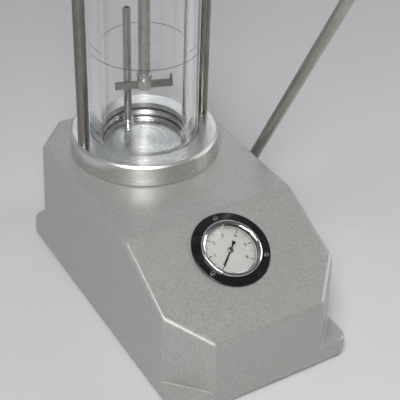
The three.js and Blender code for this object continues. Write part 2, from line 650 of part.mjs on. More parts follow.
// clamp hub and crossbar, turned on the rod's foot
const HUB_R = ROD_D / 2 + 1;
const BAR_T = 3.4;
const BAR_H = 6.6;
const BAR_PIN_R = 1.3;
function holderHub() {
  const body = solid(turned([
    [0, BAR_Z - HUB_DOWN], [HUB_R - 0.6, BAR_Z - HUB_DOWN], [HUB_R, BAR_Z - HUB_DOWN + 0.8],
    [HUB_R, BAR_Z + 5.4], [HUB_R + 0.7, BAR_Z + 9.5], [HUB_R - 0.3, BAR_Z + HUB_UP],
    [0, BAR_Z + HUB_UP],
  ], 24));
  const [slotY, slotZ] = [BAR_T / 2 + 0.1, BAR_H / 2 + 0.1];
  const slot = box(-20, 20, -slotY, slotY, BAR_Z - slotZ, BAR_Z + slotZ);
  return cut(
    body,
    solid(disc(ROD_D / 2 + PRESS, ROD_FOOT - 0.1, BAR_Z + HUB_UP + 2, 24)),
    solid(slot.rotateZ(BAR_TURN * RAD)),
  );
}
steel('holder_hub', holderHub());

function crossbar() {
  const half = BAR_LEN / 2;
  const bar = solid(box(-half, half, -BAR_T / 2, BAR_T / 2, BAR_Z - BAR_H / 2, BAR_Z + BAR_H / 2));
  const pin = solid(turned([
    [0, BAR_Z - 1], [BAR_PIN_R, BAR_Z - 1], [BAR_PIN_R, BAR_Z + 8], [0.8, BAR_Z + 9], [0, BAR_Z + 9.2],
  ], 10).translate(half - BAR_PIN_R - 0.1, 0, 0));
  return skinOf(join(bar, pin)).rotateZ(BAR_TURN * RAD);
}
steel('crossbar', crossbar());

// ---------------------------------------------------------------- gauge
const cavityR = CASE_R - 2;
const DIAL_DOWN = 2;             // seat of the dial below the casting's face
const DIAL_T = 0.75;
const GLASS_T = 1.6;
const GLASS_TOP = FLANGE_T + GLASS_T;
const ARBOR_R = 0.9;
const POINTER_L = cavityR - 4.7;
const STEM_FLAT = 9.5;           // corner radius of the stem's hexagon
const STEM_L = 20;
black('gauge_case', cut(
  solid(onFace(turned([
    [0, -CASE_L], [CASE_R - 2, -CASE_L], [CASE_R, -CASE_L + 2], [CASE_R, TOUCH], [FLANGE_R - 0.5, TOUCH],
    [FLANGE_R, 0.6], [FLANGE_R, FLANGE_T - 0.6], [FLANGE_R - 0.6, FLANGE_T], [cavityR, FLANGE_T],
    [cavityR, -DIAL_DOWN], [cavityR - 2, -DIAL_DOWN], [cavityR - 2, -CASE_L + 2], [0, -CASE_L + 2],
  ], 30))),
  ...faceScrews.map(([x, y]) => solid(onFace(disc(SCREW_BORE, -1, 5, 10).translate(x, y, 0)))),
));
chrome('gauge_bezel', onFace(turned([
  [cavityR + SLIP, FLANGE_T + TOUCH], [BEZEL_R, FLANGE_T + TOUCH], [BEZEL_R, GLASS_TOP],
  [BEZEL_R - 1, GLASS_TOP + 1.1], [cavityR - 0.2, GLASS_TOP + 0.8], [cavityR - 0.8, GLASS_TOP + 0.1],
  [cavityR + SLIP, GLASS_TOP + 0.1], [cavityR + SLIP, FLANGE_T + TOUCH],
], 30)));
add('gauge_glass', onFace(disc(cavityR - 0.1, FLANGE_T, GLASS_TOP, 36)), 0xf2f6f8, 0.03, 0);
add('gauge_dial', onFace(ring(ARBOR_R + 0.5, cavityR - SLIP, TOUCH - DIAL_DOWN, TOUCH - DIAL_DOWN + DIAL_T,
  36)), 0xf2f2ee, 0.6, 0);
brass('gauge_stem', onFace(turned([
  [0, -CASE_L - TOUCH], [STEM_FLAT, -CASE_L - TOUCH], [STEM_FLAT, -CASE_L - 9],
  [6, -CASE_L - 9.5], [6, -CASE_L - STEM_L], [0, -CASE_L - STEM_L],
], 6)));
faceScrews.forEach(([x, y], i) => {
  const body = screw(2.8, 1.6, 1.5, 11).rotateX(Math.PI);
  steel(`gauge_screw_${i + 1}`, onFace(body.translate(x, y, FLANGE_T + TOUCH)));
});

function pointer() {
  const blade = new THREE.Shape([V2(-0.9, -7), V2(0.9, -7), V2(0.5, 0), V2(0.3, POINTER_L),
    V2(-0.3, POINTER_L), V2(-0.5, 0)]);
  const flat = new THREE.ExtrudeGeometry(blade, { depth: 0.5, bevelEnabled: false });
  const body = join(
    solid(flat.translate(0, 0, -0.3)),
    solid(disc(2.6, -0.5, 0.6, 16)),
    solid(disc(ARBOR_R, -6, 0, 10)),
  );
  return onFace(skinOf(body).rotateZ(POINTER_ZERO * RAD));
}
black('gauge_pointer', pointer());

// ---------------------------------------------------------------- lever and shaft
const HUB_X0 = PIVOT_FACE + 2.4;
const HUB_X1 = LEVER_X * 2 - HUB_X0;
const HUB_OUT = SHAFT_R + HUB_WALL;
const LEVER_FOOT = HUB_OUT + 1;
const NECK_TOP_L = LEVER_FOOT + 12;
const leverTilt = (geometry) => geometry.rotateX(LEVER_LEAN * RAD).translate(LEVER_X, PIVOT_Y, PIVOT_Z);
const onPivot = (geometry) => alongX(geometry).translate(0, PIVOT_Y, PIVOT_Z);

const BUSH_X0 = PIVOT_INNER - 4;
brass('shaft_bush', onPivot(turned([
  [SHAFT_R + PRESS, BUSH_X0], [BUSH_R, BUSH_X0], [BUSH_R, PIVOT_FACE + TOUCH],
  [BUSH_RIM_R, PIVOT_FACE + TOUCH], [BUSH_RIM_R, PIVOT_FACE + 2], [SHAFT_R + PRESS, PIVOT_FACE + 2],
  [SHAFT_R + PRESS, BUSH_X0],
], 32)));
const SHAFT_X1 = HUB_X1 - 0.4;
steel('lever_shaft', onPivot(disc(SHAFT_R, SHAFT_X0, SHAFT_X1, 32)));
steel('lever_hub', cut(
  solid(onPivot(turned([
    [0, HUB_X0], [HUB_OUT - 1, HUB_X0], [HUB_OUT, HUB_X0 + 1], [HUB_OUT, HUB_X1 - 1],
    [HUB_OUT - 1, HUB_X1], [0, HUB_X1],
  ], 32))),
  solid(onPivot(disc(SHAFT_R + 0.1, HUB_X0 - 1, HUB_X1 + 1, 32))),
).add(cut(
  solid(leverTilt(disc(LEVER_D / 2 + 2.2, LEVER_FOOT - 6, NECK_TOP_L, 24))),
  solid(leverTilt(disc(LEVER_D / 2 + PRESS, LEVER_FOOT - 0.4, NECK_TOP_L + 3, 24))),
)));
const CAP_R = SHAFT_R + 2.5;
chrome('hub_screw', onPivot(turned([
  [0, HUB_X1 + TOUCH], [CAP_R, HUB_X1 + TOUCH], [CAP_R, HUB_X1 + 1.6], [5, HUB_X1 + 1.6],
  [5, HUB_X1 + 5], [4, HUB_X1 + 6], [0, HUB_X1 + 6],
], 24)));
steel('lever_rod', leverTilt(disc(LEVER_D / 2, LEVER_FOOT, LEVER_END, 24)));
black('lever_knob', cut(
  solid(leverTilt(turned([
    [0, LEVER_END - 12], [LEVER_D / 2 + 2.8, LEVER_END - 12],
    ...range(0, 9).map((i) => {
      const a = (-54 + 18 * i) * RAD;
      return [i === 8 ? 0 : KNOB_R * Math.cos(a), LEVER_END + 5 + KNOB_R * Math.sin(a)];
    }),
  ], 20))),
  solid(leverTilt(disc(LEVER_D / 2 + SLIP, LEVER_END - 14, LEVER_END + 0.4, 24))),
));

// crank arm with its pin, pressed on the inner end of the shaft
const ARM_X1 = ARM_X0 + 8;
function crankArm() {
  const arm = new THREE.Shape();
  arm.absarc(0, 0, SHAFT_R + 5, 0, Math.PI, false);
  arm.lineTo(-PIN_R - 3, -CRANK_R);
  arm.absarc(0, -CRANK_R, PIN_R + 3, Math.PI, 2 * Math.PI, false);
  arm.closePath();
  const plate = new THREE.ExtrudeGeometry(arm, {
    depth: ARM_X1 - ARM_X0, bevelEnabled: false, curveSegments: 8,
  });
  plate.applyMatrix4(new THREE.Matrix4().set(0, 0, 1, ARM_X0, 1, 0, 0, PIVOT_Y, 0, 1, 0, PIVOT_Z,
    0, 0, 0, 1));
  const pin = alongX(disc(PIN_R, PUMP_X - 5.5, ARM_X1 - 1, 20)).translate(0, PIVOT_Y, PUMP_Z);
  return cut(
    join(solid(plate), solid(pin)),
    solid(onPivot(disc(SHAFT_R + 0.1, ARM_X0 - 9, ARM_X1 + 9, 32))),
  );
}
steel('crank_arm', crankArm());

// ---------------------------------------------------------------- pump
const onPump = (geometry) => alongY(geometry).translate(PUMP_X, 0, PUMP_Z);
const BLOCK = BARREL_R + 2;
const ROD_R = 5;
const pumpFoot = PLATE_Z + PLATE_T + TOUCH;

satin('pump_barrel', onPump(ring(PISTON_R + PISTON_PLAY, BARREL_R, BARREL_Y0 + TOUCH, BARREL_Y1 - TOUCH,
  32)));

function pumpEnd(y0, y1, hole) {
  const block = solid(box(PUMP_X - BLOCK, PUMP_X + BLOCK, y0, y1, pumpFoot, PUMP_Z + BLOCK));
  return cut(block, ...hole.map((h) => solid(h)));
}
const HEAD_T = 12;
add('pump_head', pumpEnd(BARREL_Y0 - HEAD_T, BARREL_Y0, [
  onPump(disc(3, BARREL_Y0 - HEAD_T - 1, BARREL_Y0 + 1, 12)),
]), 0x9a9c9e, 0.4, 0.9);
const GUIDE_T = 8;
add('pump_guide', pumpEnd(BARREL_Y1, BARREL_Y1 + GUIDE_T, [
  onPump(disc(ROD_R + SLIP, BARREL_Y1 - 1, BARREL_Y1 + GUIDE_T + 1, 24)),
]), 0x9a9c9e, 0.4, 0.9);

const PISTON_Y = BARREL_Y0 + 38;
const PISTON_L = 16;
rubber('piston_seal', onPump(ring(PISTON_R - 2.4, PISTON_R - 0.05, PISTON_Y + 6, PISTON_Y + 10, 32)));
satin('piston', onPump(turned([
  [0, PISTON_Y], [PISTON_R - 0.6, PISTON_Y], [PISTON_R - 0.6, PISTON_Y + 5.8],
  [PISTON_R - 2.6, PISTON_Y + 5.8], [PISTON_R - 2.6, PISTON_Y + 10.2],
  [PISTON_R - 0.6, PISTON_Y + 10.2], [PISTON_R - 0.6, PISTON_Y + PISTON_L], [0, PISTON_Y + PISTON_L],
], 32)));
const YOKE_Y = 11;
steel('piston_rod', onPump(disc(ROD_R, PISTON_Y + PISTON_L + TOUCH, PIVOT_Y - YOKE_Y - TOUCH, 24)));

// slotted yoke that the crank pin slides up and down in
function yoke() {
  const [y0, y1] = [PIVOT_Y - YOKE_Y, PIVOT_Y + YOKE_Y];
  const block = solid(box(PUMP_X - 4, PUMP_X + 4, y0, y1, PUMP_Z - 10.5, PUMP_Z + 14));
  const gap = PIN_R + PIN_PLAY;
  const slot = solid(box(PUMP_X - 6, PUMP_X + 6, PIVOT_Y - gap, PIVOT_Y + gap, PUMP_Z - 5.5,
    PUMP_Z + 9));
  return cut(block, slot);
}
steel('piston_yoke', yoke());

// ---------------------------------------------------------------- air passages
const MANIFOLD_Z1 = DECK_Z - SPIGOT_L - TOUCH;
const MANIFOLD_Z0 = MANIFOLD_Z1 - 20;
const manifoldMid = (MANIFOLD_Z0 + MANIFOLD_Z1) / 2;
const MANIFOLD_W = 18;           // half width
const manifoldY0 = AIR_Y - 14.5;
const portY = manifoldY0 + 12;
brass('manifold_block', cut(
  solid(box(-MANIFOLD_W, MANIFOLD_W, manifoldY0, manifoldY0 + 24, MANIFOLD_Z0, MANIFOLD_Z1)),
  solid(disc(AIR_BORE / 2, manifoldMid, MANIFOLD_Z1 + 1, 10).translate(AIR_X, AIR_Y, 0)),
));

const VALVE_X0 = VALVE_FACE - 29.6;   // inner end of the valve
const PIPE_R = 2;
const PIPE_BORE = 1.1;
const copper = (name, points, steps) => add(name, pipe(points, PIPE_R, PIPE_BORE, steps),
  0xa9683f, 0.35, 1);
const stemEnd = V3(0, 0, -CASE_L - STEM_L - FREE).applyMatrix4(gaugeFrame);
const stemOut = V3(0, 0, -CASE_L - 28).applyMatrix4(gaugeFrame);
copper('pipe_gauge', [
  [-6, manifoldY0 - 0.4, manifoldMid], [-6, manifoldY0 - 11, manifoldMid], [-5, -50, manifoldMid - 14],
  [0, stemOut.y + 22, stemOut.z + 4], stemOut.toArray(), stemEnd.toArray(),
], 16);
copper('pipe_pump', [
  [PUMP_X, BARREL_Y0 - HEAD_T - FREE, PUMP_Z], [PUMP_X, BARREL_Y0 - HEAD_T - 7, PUMP_Z],
  [PUMP_X - 16, BARREL_Y0 - HEAD_T - 16, PUMP_Z], [PUMP_X - 44, BARREL_Y0 - 10, PUMP_Z],
  [-16, -70, PUMP_Z + 6], [-32, -20, manifoldMid - 20],
  [-MANIFOLD_W * 2, portY - 7, manifoldMid - 2],
  [-MANIFOLD_W - 9, portY, manifoldMid], [-MANIFOLD_W - FREE, portY, manifoldMid],
], 24);
copper('pipe_release', [
  [MANIFOLD_W + FREE, portY, manifoldMid], [MANIFOLD_W + 9, portY, manifoldMid],
  [MANIFOLD_W + 22, portY + 5, manifoldMid - 12],
  [VALVE_X0 - 8, VALVE_Y, VALVE_Z], [VALVE_X0 - 0.4, VALVE_Y, VALVE_Z],
], 12);

// ---------------------------------------------------------------- release valve
const onValve = (geometry) => alongX(geometry).translate(0, VALVE_Y, VALVE_Z);
const NEEDLE_R = 3;
brass('valve_body', cut(
  solid(onValve(turned([
    [0, VALVE_X0], [4, VALVE_X0], [4, VALVE_X0 + 4], [VALVE_R, VALVE_X0 + 4],
    [VALVE_R, VALVE_FACE + TOUCH], [VALVE_R + 4, VALVE_FACE + TOUCH],
    [VALVE_R + 4, VALVE_FACE + 4], [0, VALVE_FACE + 4],
  ], 24))),
  solid(onValve(disc(NEEDLE_R + SLIP, VALVE_X0 + 8, VALVE_FACE + 6, 16))),
  solid(onValve(disc(1.2, VALVE_X0 - 8, VALVE_X0 + 12, 10))),
));
const NEEDLE_X1 = VALVE_FACE + 16;
steel('valve_needle', onValve(turned([
  [0, VALVE_X0 + 9], [1.6, VALVE_X0 + 9], [NEEDLE_R, VALVE_X0 + 12], [NEEDLE_R, NEEDLE_X1],
  [0, NEEDLE_X1],
], 16)));
function valveKnob() {
  const x0 = VALVE_FACE + 6.5;
  const body = solid(onValve(turned([
    [0, x0], [9, x0], [10.5, x0 + 1.5], [10.5, x0 + 11], [9, x0 + 12.5], [0, x0 + 12.5],
  ], 24)));
  const grips = range(0, 8).map((i) => solid(onValve(
    disc(2.2, x0 - 1, x0 + 14, 8).translate(11.4, 0, 0).rotateZ(i * 45 * RAD))));
  return cut(body, solid(onValve(disc(NEEDLE_R + PRESS, x0 - 1, NEEDLE_X1 + FREE, 16))), ...grips);
}
black('valve_knob', valveKnob());

export default group;
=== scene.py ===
"""Looks of the hand-pumped pressure tester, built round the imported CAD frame.
Sizes are in millimetres from the chamber axis, with the floor at 0, and at() turns them into the
frame's metres."""
import math

import bmesh
import bpy
from mathutils import Matrix, Vector


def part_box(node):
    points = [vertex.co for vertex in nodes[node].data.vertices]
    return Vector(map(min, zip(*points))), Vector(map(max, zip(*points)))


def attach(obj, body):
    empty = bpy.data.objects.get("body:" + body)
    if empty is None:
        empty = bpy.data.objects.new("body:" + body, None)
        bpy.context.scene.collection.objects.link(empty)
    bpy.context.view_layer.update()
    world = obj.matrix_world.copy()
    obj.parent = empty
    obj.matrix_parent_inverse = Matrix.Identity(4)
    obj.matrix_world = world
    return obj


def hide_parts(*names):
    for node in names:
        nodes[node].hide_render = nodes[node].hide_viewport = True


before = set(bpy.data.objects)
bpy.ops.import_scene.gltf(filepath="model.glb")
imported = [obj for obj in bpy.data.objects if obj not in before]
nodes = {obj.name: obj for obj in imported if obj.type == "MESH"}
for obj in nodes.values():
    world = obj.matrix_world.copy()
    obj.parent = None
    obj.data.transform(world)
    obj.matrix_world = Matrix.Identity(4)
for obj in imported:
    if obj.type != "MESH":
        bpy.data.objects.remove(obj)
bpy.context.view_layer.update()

MM = 0.001
ring_low, ring_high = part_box("chamber_base")
AXIS = (ring_low + ring_high) / 2


def at(x, y, z):
    return Vector((AXIS.x + x * MM, AXIS.y + y * MM, z * MM))


def place(x, y, z, turn=None):
    spot = Matrix.Translation(at(x, y, z))
    return spot @ turn if turn is not None else spot


def spin(degrees, axis):
    return Matrix.Rotation(math.radians(degrees), 4, axis)


# ---------------------------------------------------------------- sizes shared with the CAD
GAP = 0.05
HALF_W, REAR_Y, FRONT_Y, CREASE_Y, DECK_Z = 84.7, 79.2, 222.7, 120.9, 120.5
RIM_Z, SLOPE, DRAFT = 3.0, 0.49, 0.023
CORNER_X, CORNER_Y, CORNER_R, EDGE_R = 32.0, 34.0, 6.0, 4.0
LEDGE_Z, LEDGE_R, LEDGE_EDGE = 19.5, 12.0, 3.0
RING_TOP = 141.5
SEAT_Z = RING_TOP - 3.5
FLOOR_Z = RING_TOP - 10
FLANGE_Z = RING_TOP + 165
FLANGE_TOP = FLANGE_Z + 16
TUBE_FOOT = RING_TOP - 0.5
TUBE_TOP = FLANGE_Z + 0.45
TUBE_R, TUBE_BORE = 50.0, 40.0
FILL_Z = RING_TOP + 85.7
NECK_TOP = FLANGE_TOP + 14
LID_Z = NECK_TOP + GAP
BOSS_TOP = LID_Z + 26
GLAND_Z = BOSS_TOP - 12
BAR_Z = RING_TOP + 47
ROD_TOP = BOSS_TOP + 48
PILLAR_X = 62.0
AIR_X, AIR_Y = -2.0, 31.5
LEVER_X, PIVOT_Y, PIVOT_Z, LEAN = 98.0, -17.0, 58.5, 28.2
LEVER_END = 330.0
VALVE_Y, VALVE_Z = 40.0, 62.0
PIVOT_FACE, VALVE_FACE = 88.2, 87.6
FRONT_TOP_Z = DECK_Z - SLOPE * (FRONT_Y - CREASE_Y)
FACE = math.degrees(math.atan(SLOPE))
GAUGE_DOWN, OPENING_R, OPENING_SIDES = 38.9, 26.4, 64
SCREW_CIRCLE_R = 31.0
BAR_TURN = -18.7

home = place(0, 0, 0)
face_frame = place(
    0,
    -CREASE_Y - GAUGE_DOWN * math.cos(math.radians(FACE)),
    DECK_Z - GAUGE_DOWN * math.sin(math.radians(FACE)),
    spin(FACE, "X"),
)
bar_frame = place(0, 0, BAR_Z, spin(BAR_TURN, "Z"))
pivot_frame = place(0, PIVOT_Y, PIVOT_Z, spin(90, "Y"))
lever_frame = place(LEVER_X, PIVOT_Y, PIVOT_Z, spin(LEAN, "X"))
valve_frame = place(0, VALVE_Y, VALVE_Z, spin(90, "Y"))


# ---------------------------------------------------------------- materials
class Graph:
    """Short hand for a material's nodes."""

    def __init__(self, name):
        self.material = bpy.data.materials.new(name)
        self.material.use_nodes = True
        self.tree = self.material.node_tree
        self.shader = self.tree.nodes["Principled BSDF"]

    def node(self, kind, **settings):
        made = self.tree.nodes.new(kind)
        for key, value in settings.items():
            setattr(made, key, value)
        return made

    def put(self, value, socket):
        """Links a socket to a socket, or sets it to a plain value."""
        if isinstance(value, bpy.types.NodeSocket):
            self.tree.links.new(value, socket)
        else:
            socket.default_value = value

    def feed(self, node, **inputs):
        """Fills inputs by name, or by number where the name is _0, _1 and so on."""
        for key, value in inputs.items():
            self.put(value, node.inputs[int(key[1:])] if key[0] == "_" else node.inputs[key])
        return node

    def math(self, kind, a, b=0.5, clamp=False):
        made = self.node("ShaderNodeMath", operation=kind, use_clamp=clamp)
        return self.feed(made, _0=a, _1=b).outputs[0]

    def coords(self, stretch=(1, 1, 1)):
        source = self.node("ShaderNodeTexCoord").outputs["Object"]
        mapping = self.node("ShaderNodeMapping")
        return self.feed(mapping, Vector=source, Scale=stretch).outputs[0]

    def radius_height(self):
        """Distance from the axis of a turned piece, and height along it."""
        x, y, z = self.feed(self.node("ShaderNodeSeparateXYZ"), Vector=self.coords()).outputs
        squares = self.math("ADD", self.math("MULTIPLY", x, x), self.math("MULTIPLY", y, y))
        return self.math("SQRT", squares), z

    def radial(self):
        """Coordinates that only change across the circles of a turned piece."""
        radius, height = self.radius_height()
        return self.feed(self.node("ShaderNodeCombineXYZ"), X=radius, Y=height, Z=0.0).outputs[0]

    def noise(self, vector, scale, detail, rough):
        made = self.node("ShaderNodeTexNoise")
        return self.feed(made, Vector=vector, Scale=scale, Detail=detail, Roughness=rough).outputs[0]

    def remap(self, value, low, high, span=(0.3, 0.7)):
        made = self.node("ShaderNodeMapRange")
        return self.feed(made, _0=value, _1=span[0], _2=span[1], _3=low, _4=high).outputs[0]

    def blend(self, factor, a, b):
        made = self.node("ShaderNodeMix", data_type="RGBA")
        return self.feed(made, _0=factor, _6=a, _7=b).outputs[2]

    def edges(self, radius):
        """1 on outer and inner edges, 0 on open faces."""
        rounded = self.feed(self.node("ShaderNodeBevel", samples=4), Radius=radius).outputs[0]
        plain = self.node("ShaderNodeNewGeometry").outputs["Normal"]
        dot = self.node("ShaderNodeVectorMath", operation="DOT_PRODUCT")
        self.feed(dot, _0=rounded, _1=plain)
        return self.remap(self.math("SUBTRACT", 1.0, dot.outputs["Value"]), 0.0, 1.0, (0.02, 0.25))

    def bump(self, height, distance, strength=1.0, under=None):
        made = self.node("ShaderNodeBump")
        self.feed(made, Height=height, Distance=distance, Strength=strength)
        if under is not None:
            self.tree.links.new(under, made.inputs["Normal"])
        return made.outputs[0]

    def done(self, **inputs):
        for key, value in inputs.items():
            self.put(value, self.shader.inputs[key.replace("_", " ")])
        return self.material


def rgb(r, g, b):
    return (r, g, b, 1.0)


def scaled(colour, factor, added=0.0):
    """A darker or lighter version of a colour."""
    return rgb(*(min(factor * c + added, 1.0) for c in colour[:3]))


def paint():
    """Silver-grey hammered stoving paint on a sand casting."""
    g = Graph("cast_paint")
    grain = g.noise(g.coords(), 520, 4.0, 0.6)
    speck = g.noise(g.coords(), 1500, 2.0, 0.5)
    patch = g.noise(g.coords(), 11, 3.0, 0.5)
    swell = g.noise(g.coords(), 26, 2.0, 0.5)
    tone = g.blend(g.remap(grain, 0, 1), rgb(0.28, 0.28, 0.271), rgb(0.445, 0.445, 0.432))
    tone = g.blend(g.remap(speck, 0, 0.35), tone, rgb(0.56, 0.56, 0.55))
    tone = g.blend(g.remap(patch, 0, 0.3), tone, rgb(0.40, 0.405, 0.395))
    # edges lightened towards near white: partly paint rubbed through on the edges, partly a painted highlight
    # along them
    wear_and_highlight = g.math("MULTIPLY", g.edges(0.0024), g.remap(patch, 0.5, 1.0))
    tone = g.blend(wear_and_highlight, tone, rgb(0.82, 0.82, 0.80))
    shape = g.bump(swell, 0.0009, 0.5)
    shape = g.bump(grain, 0.00016, 0.55, shape)
    return g.done(
        Base_Color=tone,
        Metallic=0.25,
        Roughness=g.remap(grain, 0.30, 0.46),
        Normal=shape,
        Coat_Weight=0.15,
        Coat_Roughness=0.22,
    )


def turned_metal(name, dark, light, rough, aniso=0.6, groove_shade=None):
    """Lathe-turned metal with fine circular tool marks, and a painted shade, near black, in a groove
    given by its inner and outer radius and the height it reaches."""
    g = Graph(name)
    groove, depth = 5000, 0.0000025
    rings = g.noise(g.radial(), groove, 2.0, 0.7)
    bands = g.noise(g.radial(), groove / 14, 2.0, 0.5)
    stain = g.noise(g.coords(), 45, 4.0, 0.6)
    tone = g.blend(g.remap(rings, 0, 1), dark, light)
    tone = g.blend(g.remap(stain, 0, 0.35), tone, scaled(dark, 0.8))
    tone = g.blend(g.math("MULTIPLY", g.edges(0.0006), 0.6), tone, rgb(0.85, 0.85, 0.85))
    if groove_shade:
        inner, outer, top = (v * MM for v in groove_shade)
        radius, height = g.radius_height()
        inside = g.math("MULTIPLY", g.math("GREATER_THAN", radius, inner), g.math("LESS_THAN", radius, outer))
        groove_shade_mask = g.math("MULTIPLY", inside, g.math("LESS_THAN", height, top))
        # painted shade: the groove between these radii and below this height is coloured near black where
        # shadow falls
        tone = g.blend(groove_shade_mask, tone, rgb(0.05, 0.05, 0.048))
    tangent = g.node("ShaderNodeTangent", direction_type="RADIAL", axis="Z")
    return g.done(
        Base_Color=tone,
        Metallic=1.0,
        Roughness=g.math("ADD", g.remap(bands, rough - 0.05, rough + 0.06), g.remap(stain, -0.03, 0.05)),
        Normal=g.bump(rings, depth, 0.5, g.bump(bands, depth * 3, 0.3)),
        Anisotropic=aniso,
        Tangent=tangent.outputs[0],
    )


def brushed_metal(name, dark, light, rough, scale=900, stretch=(1, 1, 0.06)):
    """Drawn or machined metal with a grain that runs along the piece."""
    g = Graph(name)
    lines = g.noise(g.coords(stretch), scale, 4.0, 0.6)
    stain = g.noise(g.coords(), 60, 4.0, 0.6)
    tone = g.blend(g.remap(lines, 0, 1), dark, light)
    tone = g.blend(g.remap(stain, 0, 0.4), tone, scaled(dark, 0.7))
    tone = g.blend(g.math("MULTIPLY", g.edges(0.0005), 0.5), tone, scaled(light, 1.3))
    return g.done(
        Base_Color=tone,
        Metallic=1.0,
        Roughness=g.math("ADD", g.remap(lines, rough - 0.06, rough + 0.07), g.remap(stain, -0.04, 0.06)),
        Normal=g.bump(lines, 0.00002, 0.5),
    )


def plated(name, tone_a, tone_b, rough):
    """Plated or polished metal with a light haze and fine pits."""
    g = Graph(name)
    haze = g.noise(g.coords(), 140, 4.0, 0.6)
    pits = g.noise(g.coords(), 2600, 2.0, 0.6)
    tone = g.blend(g.remap(haze, 0, 1), tone_a, tone_b)
    return g.done(
        Base_Color=tone,
        Metallic=1.0,
        Roughness=g.math("ADD", g.remap(haze, rough, rough + 0.08), g.remap(pits, 0.0, 0.05)),
        Normal=g.bump(pits, 0.000012, 0.4),
    )


def moulded(name, tone_a, tone_b, rough, grain, depth=0.00003, coat=0.0):
    """Rubber, plastic, enamel or ink, with dust and edges worn lighter."""
    g = Graph(name)
    fine = g.noise(g.coords(), grain, 4.0, 0.6)
    dust = g.noise(g.coords(), 90, 5.0, 0.65)
    tone = g.blend(g.remap(dust, 0, 1, (0.4, 0.75)), tone_a, tone_b)
    worn = g.math("MULTIPLY", g.edges(0.0007), 0.45)
    tone = g.blend(worn, tone, scaled(tone_b, 2.2, 0.02))
    return g.done(
        Base_Color=tone,
        Roughness=g.math("ADD", g.remap(dust, rough - 0.05, rough + 0.1), g.remap(fine, -0.03, 0.04)),
        Normal=g.bump(fine, depth, 0.5),
        Coat_Weight=coat,
        Coat_Roughness=0.08,
    )


def clear(name, tint, ior, scuffs):
    """See-through solid plastic with faint smears along the tube."""
    g = Graph(name)
    smear = g.noise(g.coords((1, 1, 0.25)), 55, 3.0, 0.55)
    return g.done(
        Base_Color=g.blend(g.remap(smear, 0, 1), tint, scaled(tint, 1.02)),
        Roughness=g.remap(smear, 0.0, scuffs),
        Normal=g.bump(smear, 0.00002, 0.2),
        Transmission_Weight=1.0,
        IOR=ior,
    )


def pane(name):
    """Thin flat glass: a mirror that grows towards grazing angles over a see-through sheet."""
    g = Graph(name)
    smear = g.noise(g.coords(), 160, 3.0, 0.55)
    facing = g.feed(g.node("ShaderNodeLayerWeight"), Blend=0.5).outputs["Facing"]
    grazing = g.math("MULTIPLY", g.math("POWER", facing, 4.0), 0.7)
    return g.done(
        Base_Color=g.blend(g.remap(smear, 0, 1), rgb(0.92, 0.94, 0.95), rgb(0.98, 0.99, 0.99)),
        Metallic=1.0,
        Roughness=g.remap(smear, 0.015, 0.05),
        Normal=g.bump(smear, 0.00001, 0.2),
        Alpha=g.math("ADD", grazing, 0.03, True),
    )


MATERIALS = {
    "cast_paint": paint(),
    "turned_aluminium": turned_metal(
        "turned_aluminium", rgb(0.62, 0.62, 0.605), rgb(0.77, 0.77, 0.755), 0.31
    ),
    "ring_aluminium": turned_metal(
        "ring_aluminium", rgb(0.70, 0.70, 0.685), rgb(0.85, 0.85, 0.835), 0.27,
        # painted shade, near black, in the groove round the chamber floor
        groove_shade=(38.4, 40.4, FLOOR_Z + 0.05),
    ),
    "turned_steel": turned_metal(
        "turned_steel", rgb(0.40, 0.39, 0.37), rgb(0.58, 0.57, 0.55), 0.3, 0.5
    ),
    "dark_steel": brushed_metal("dark_steel", rgb(0.20, 0.186, 0.168), rgb(0.33, 0.312, 0.285), 0.33),
    "lever_steel": brushed_metal("lever_steel", rgb(0.44, 0.42, 0.385), rgb(0.60, 0.58, 0.54), 0.34),
    "rod_steel": brushed_metal("rod_steel", rgb(0.30, 0.29, 0.26), rgb(0.43, 0.42, 0.385), 0.30),
    "bar_steel": brushed_metal(
        "bar_steel", rgb(0.17, 0.17, 0.14), rgb(0.27, 0.27, 0.225), 0.42, 700, (0.1, 1, 1)
    ),
    "sheet_steel": brushed_metal(
        "sheet_steel", rgb(0.45, 0.45, 0.44), rgb(0.6, 0.6, 0.59), 0.36, 700, (0.05, 1, 1)
    ),
    "brass": brushed_metal("brass", rgb(0.55, 0.37, 0.13), rgb(0.72, 0.52, 0.22), 0.3),
    "copper_pipe": brushed_metal(
        "copper_pipe", rgb(0.48, 0.2, 0.1), rgb(0.68, 0.33, 0.19), 0.32, 500, (1, 1, 1)
    ),
    "bright_steel": plated("bright_steel", rgb(0.74, 0.75, 0.76), rgb(0.86, 0.87, 0.88), 0.06),
    "grey_screw": plated("grey_screw", rgb(0.16, 0.16, 0.165), rgb(0.24, 0.24, 0.245), 0.3),
    "black_rubber": moulded("black_rubber", rgb(0.012, 0.012, 0.012), rgb(0.03, 0.03, 0.029), 0.62, 1200),
    "black_enamel": moulded(
        "black_enamel", rgb(0.004, 0.0045, 0.006), rgb(0.009, 0.01, 0.012), 0.2, 500, 0.00001, 0.6
    ),
    "black_plastic": moulded(
        "black_plastic", rgb(0.01, 0.01, 0.011), rgb(0.024, 0.024, 0.025), 0.24, 800, 0.00001, 0.5
    ),
    "clear_acrylic": clear("clear_acrylic", rgb(0.975, 0.988, 0.992), 1.49, 0.015),
    "ground_acrylic": moulded(
        "ground_acrylic", rgb(0.62, 0.64, 0.64), rgb(0.74, 0.75, 0.75), 0.6, 900, 0.00002
    ),
    "gauge_window": pane("gauge_window"),
    "dial_white": moulded("dial_white", rgb(0.60, 0.60, 0.58), rgb(0.66, 0.66, 0.64), 0.5, 900, 0.00001),
    "dial_ink": moulded("dial_ink", rgb(0.012, 0.012, 0.014), rgb(0.03, 0.03, 0.032), 0.55, 900, 0.00001),
    "line_ink": moulded("line_ink", rgb(0.03, 0.03, 0.035), rgb(0.07, 0.07, 0.075), 0.55, 900, 0.00001),
}


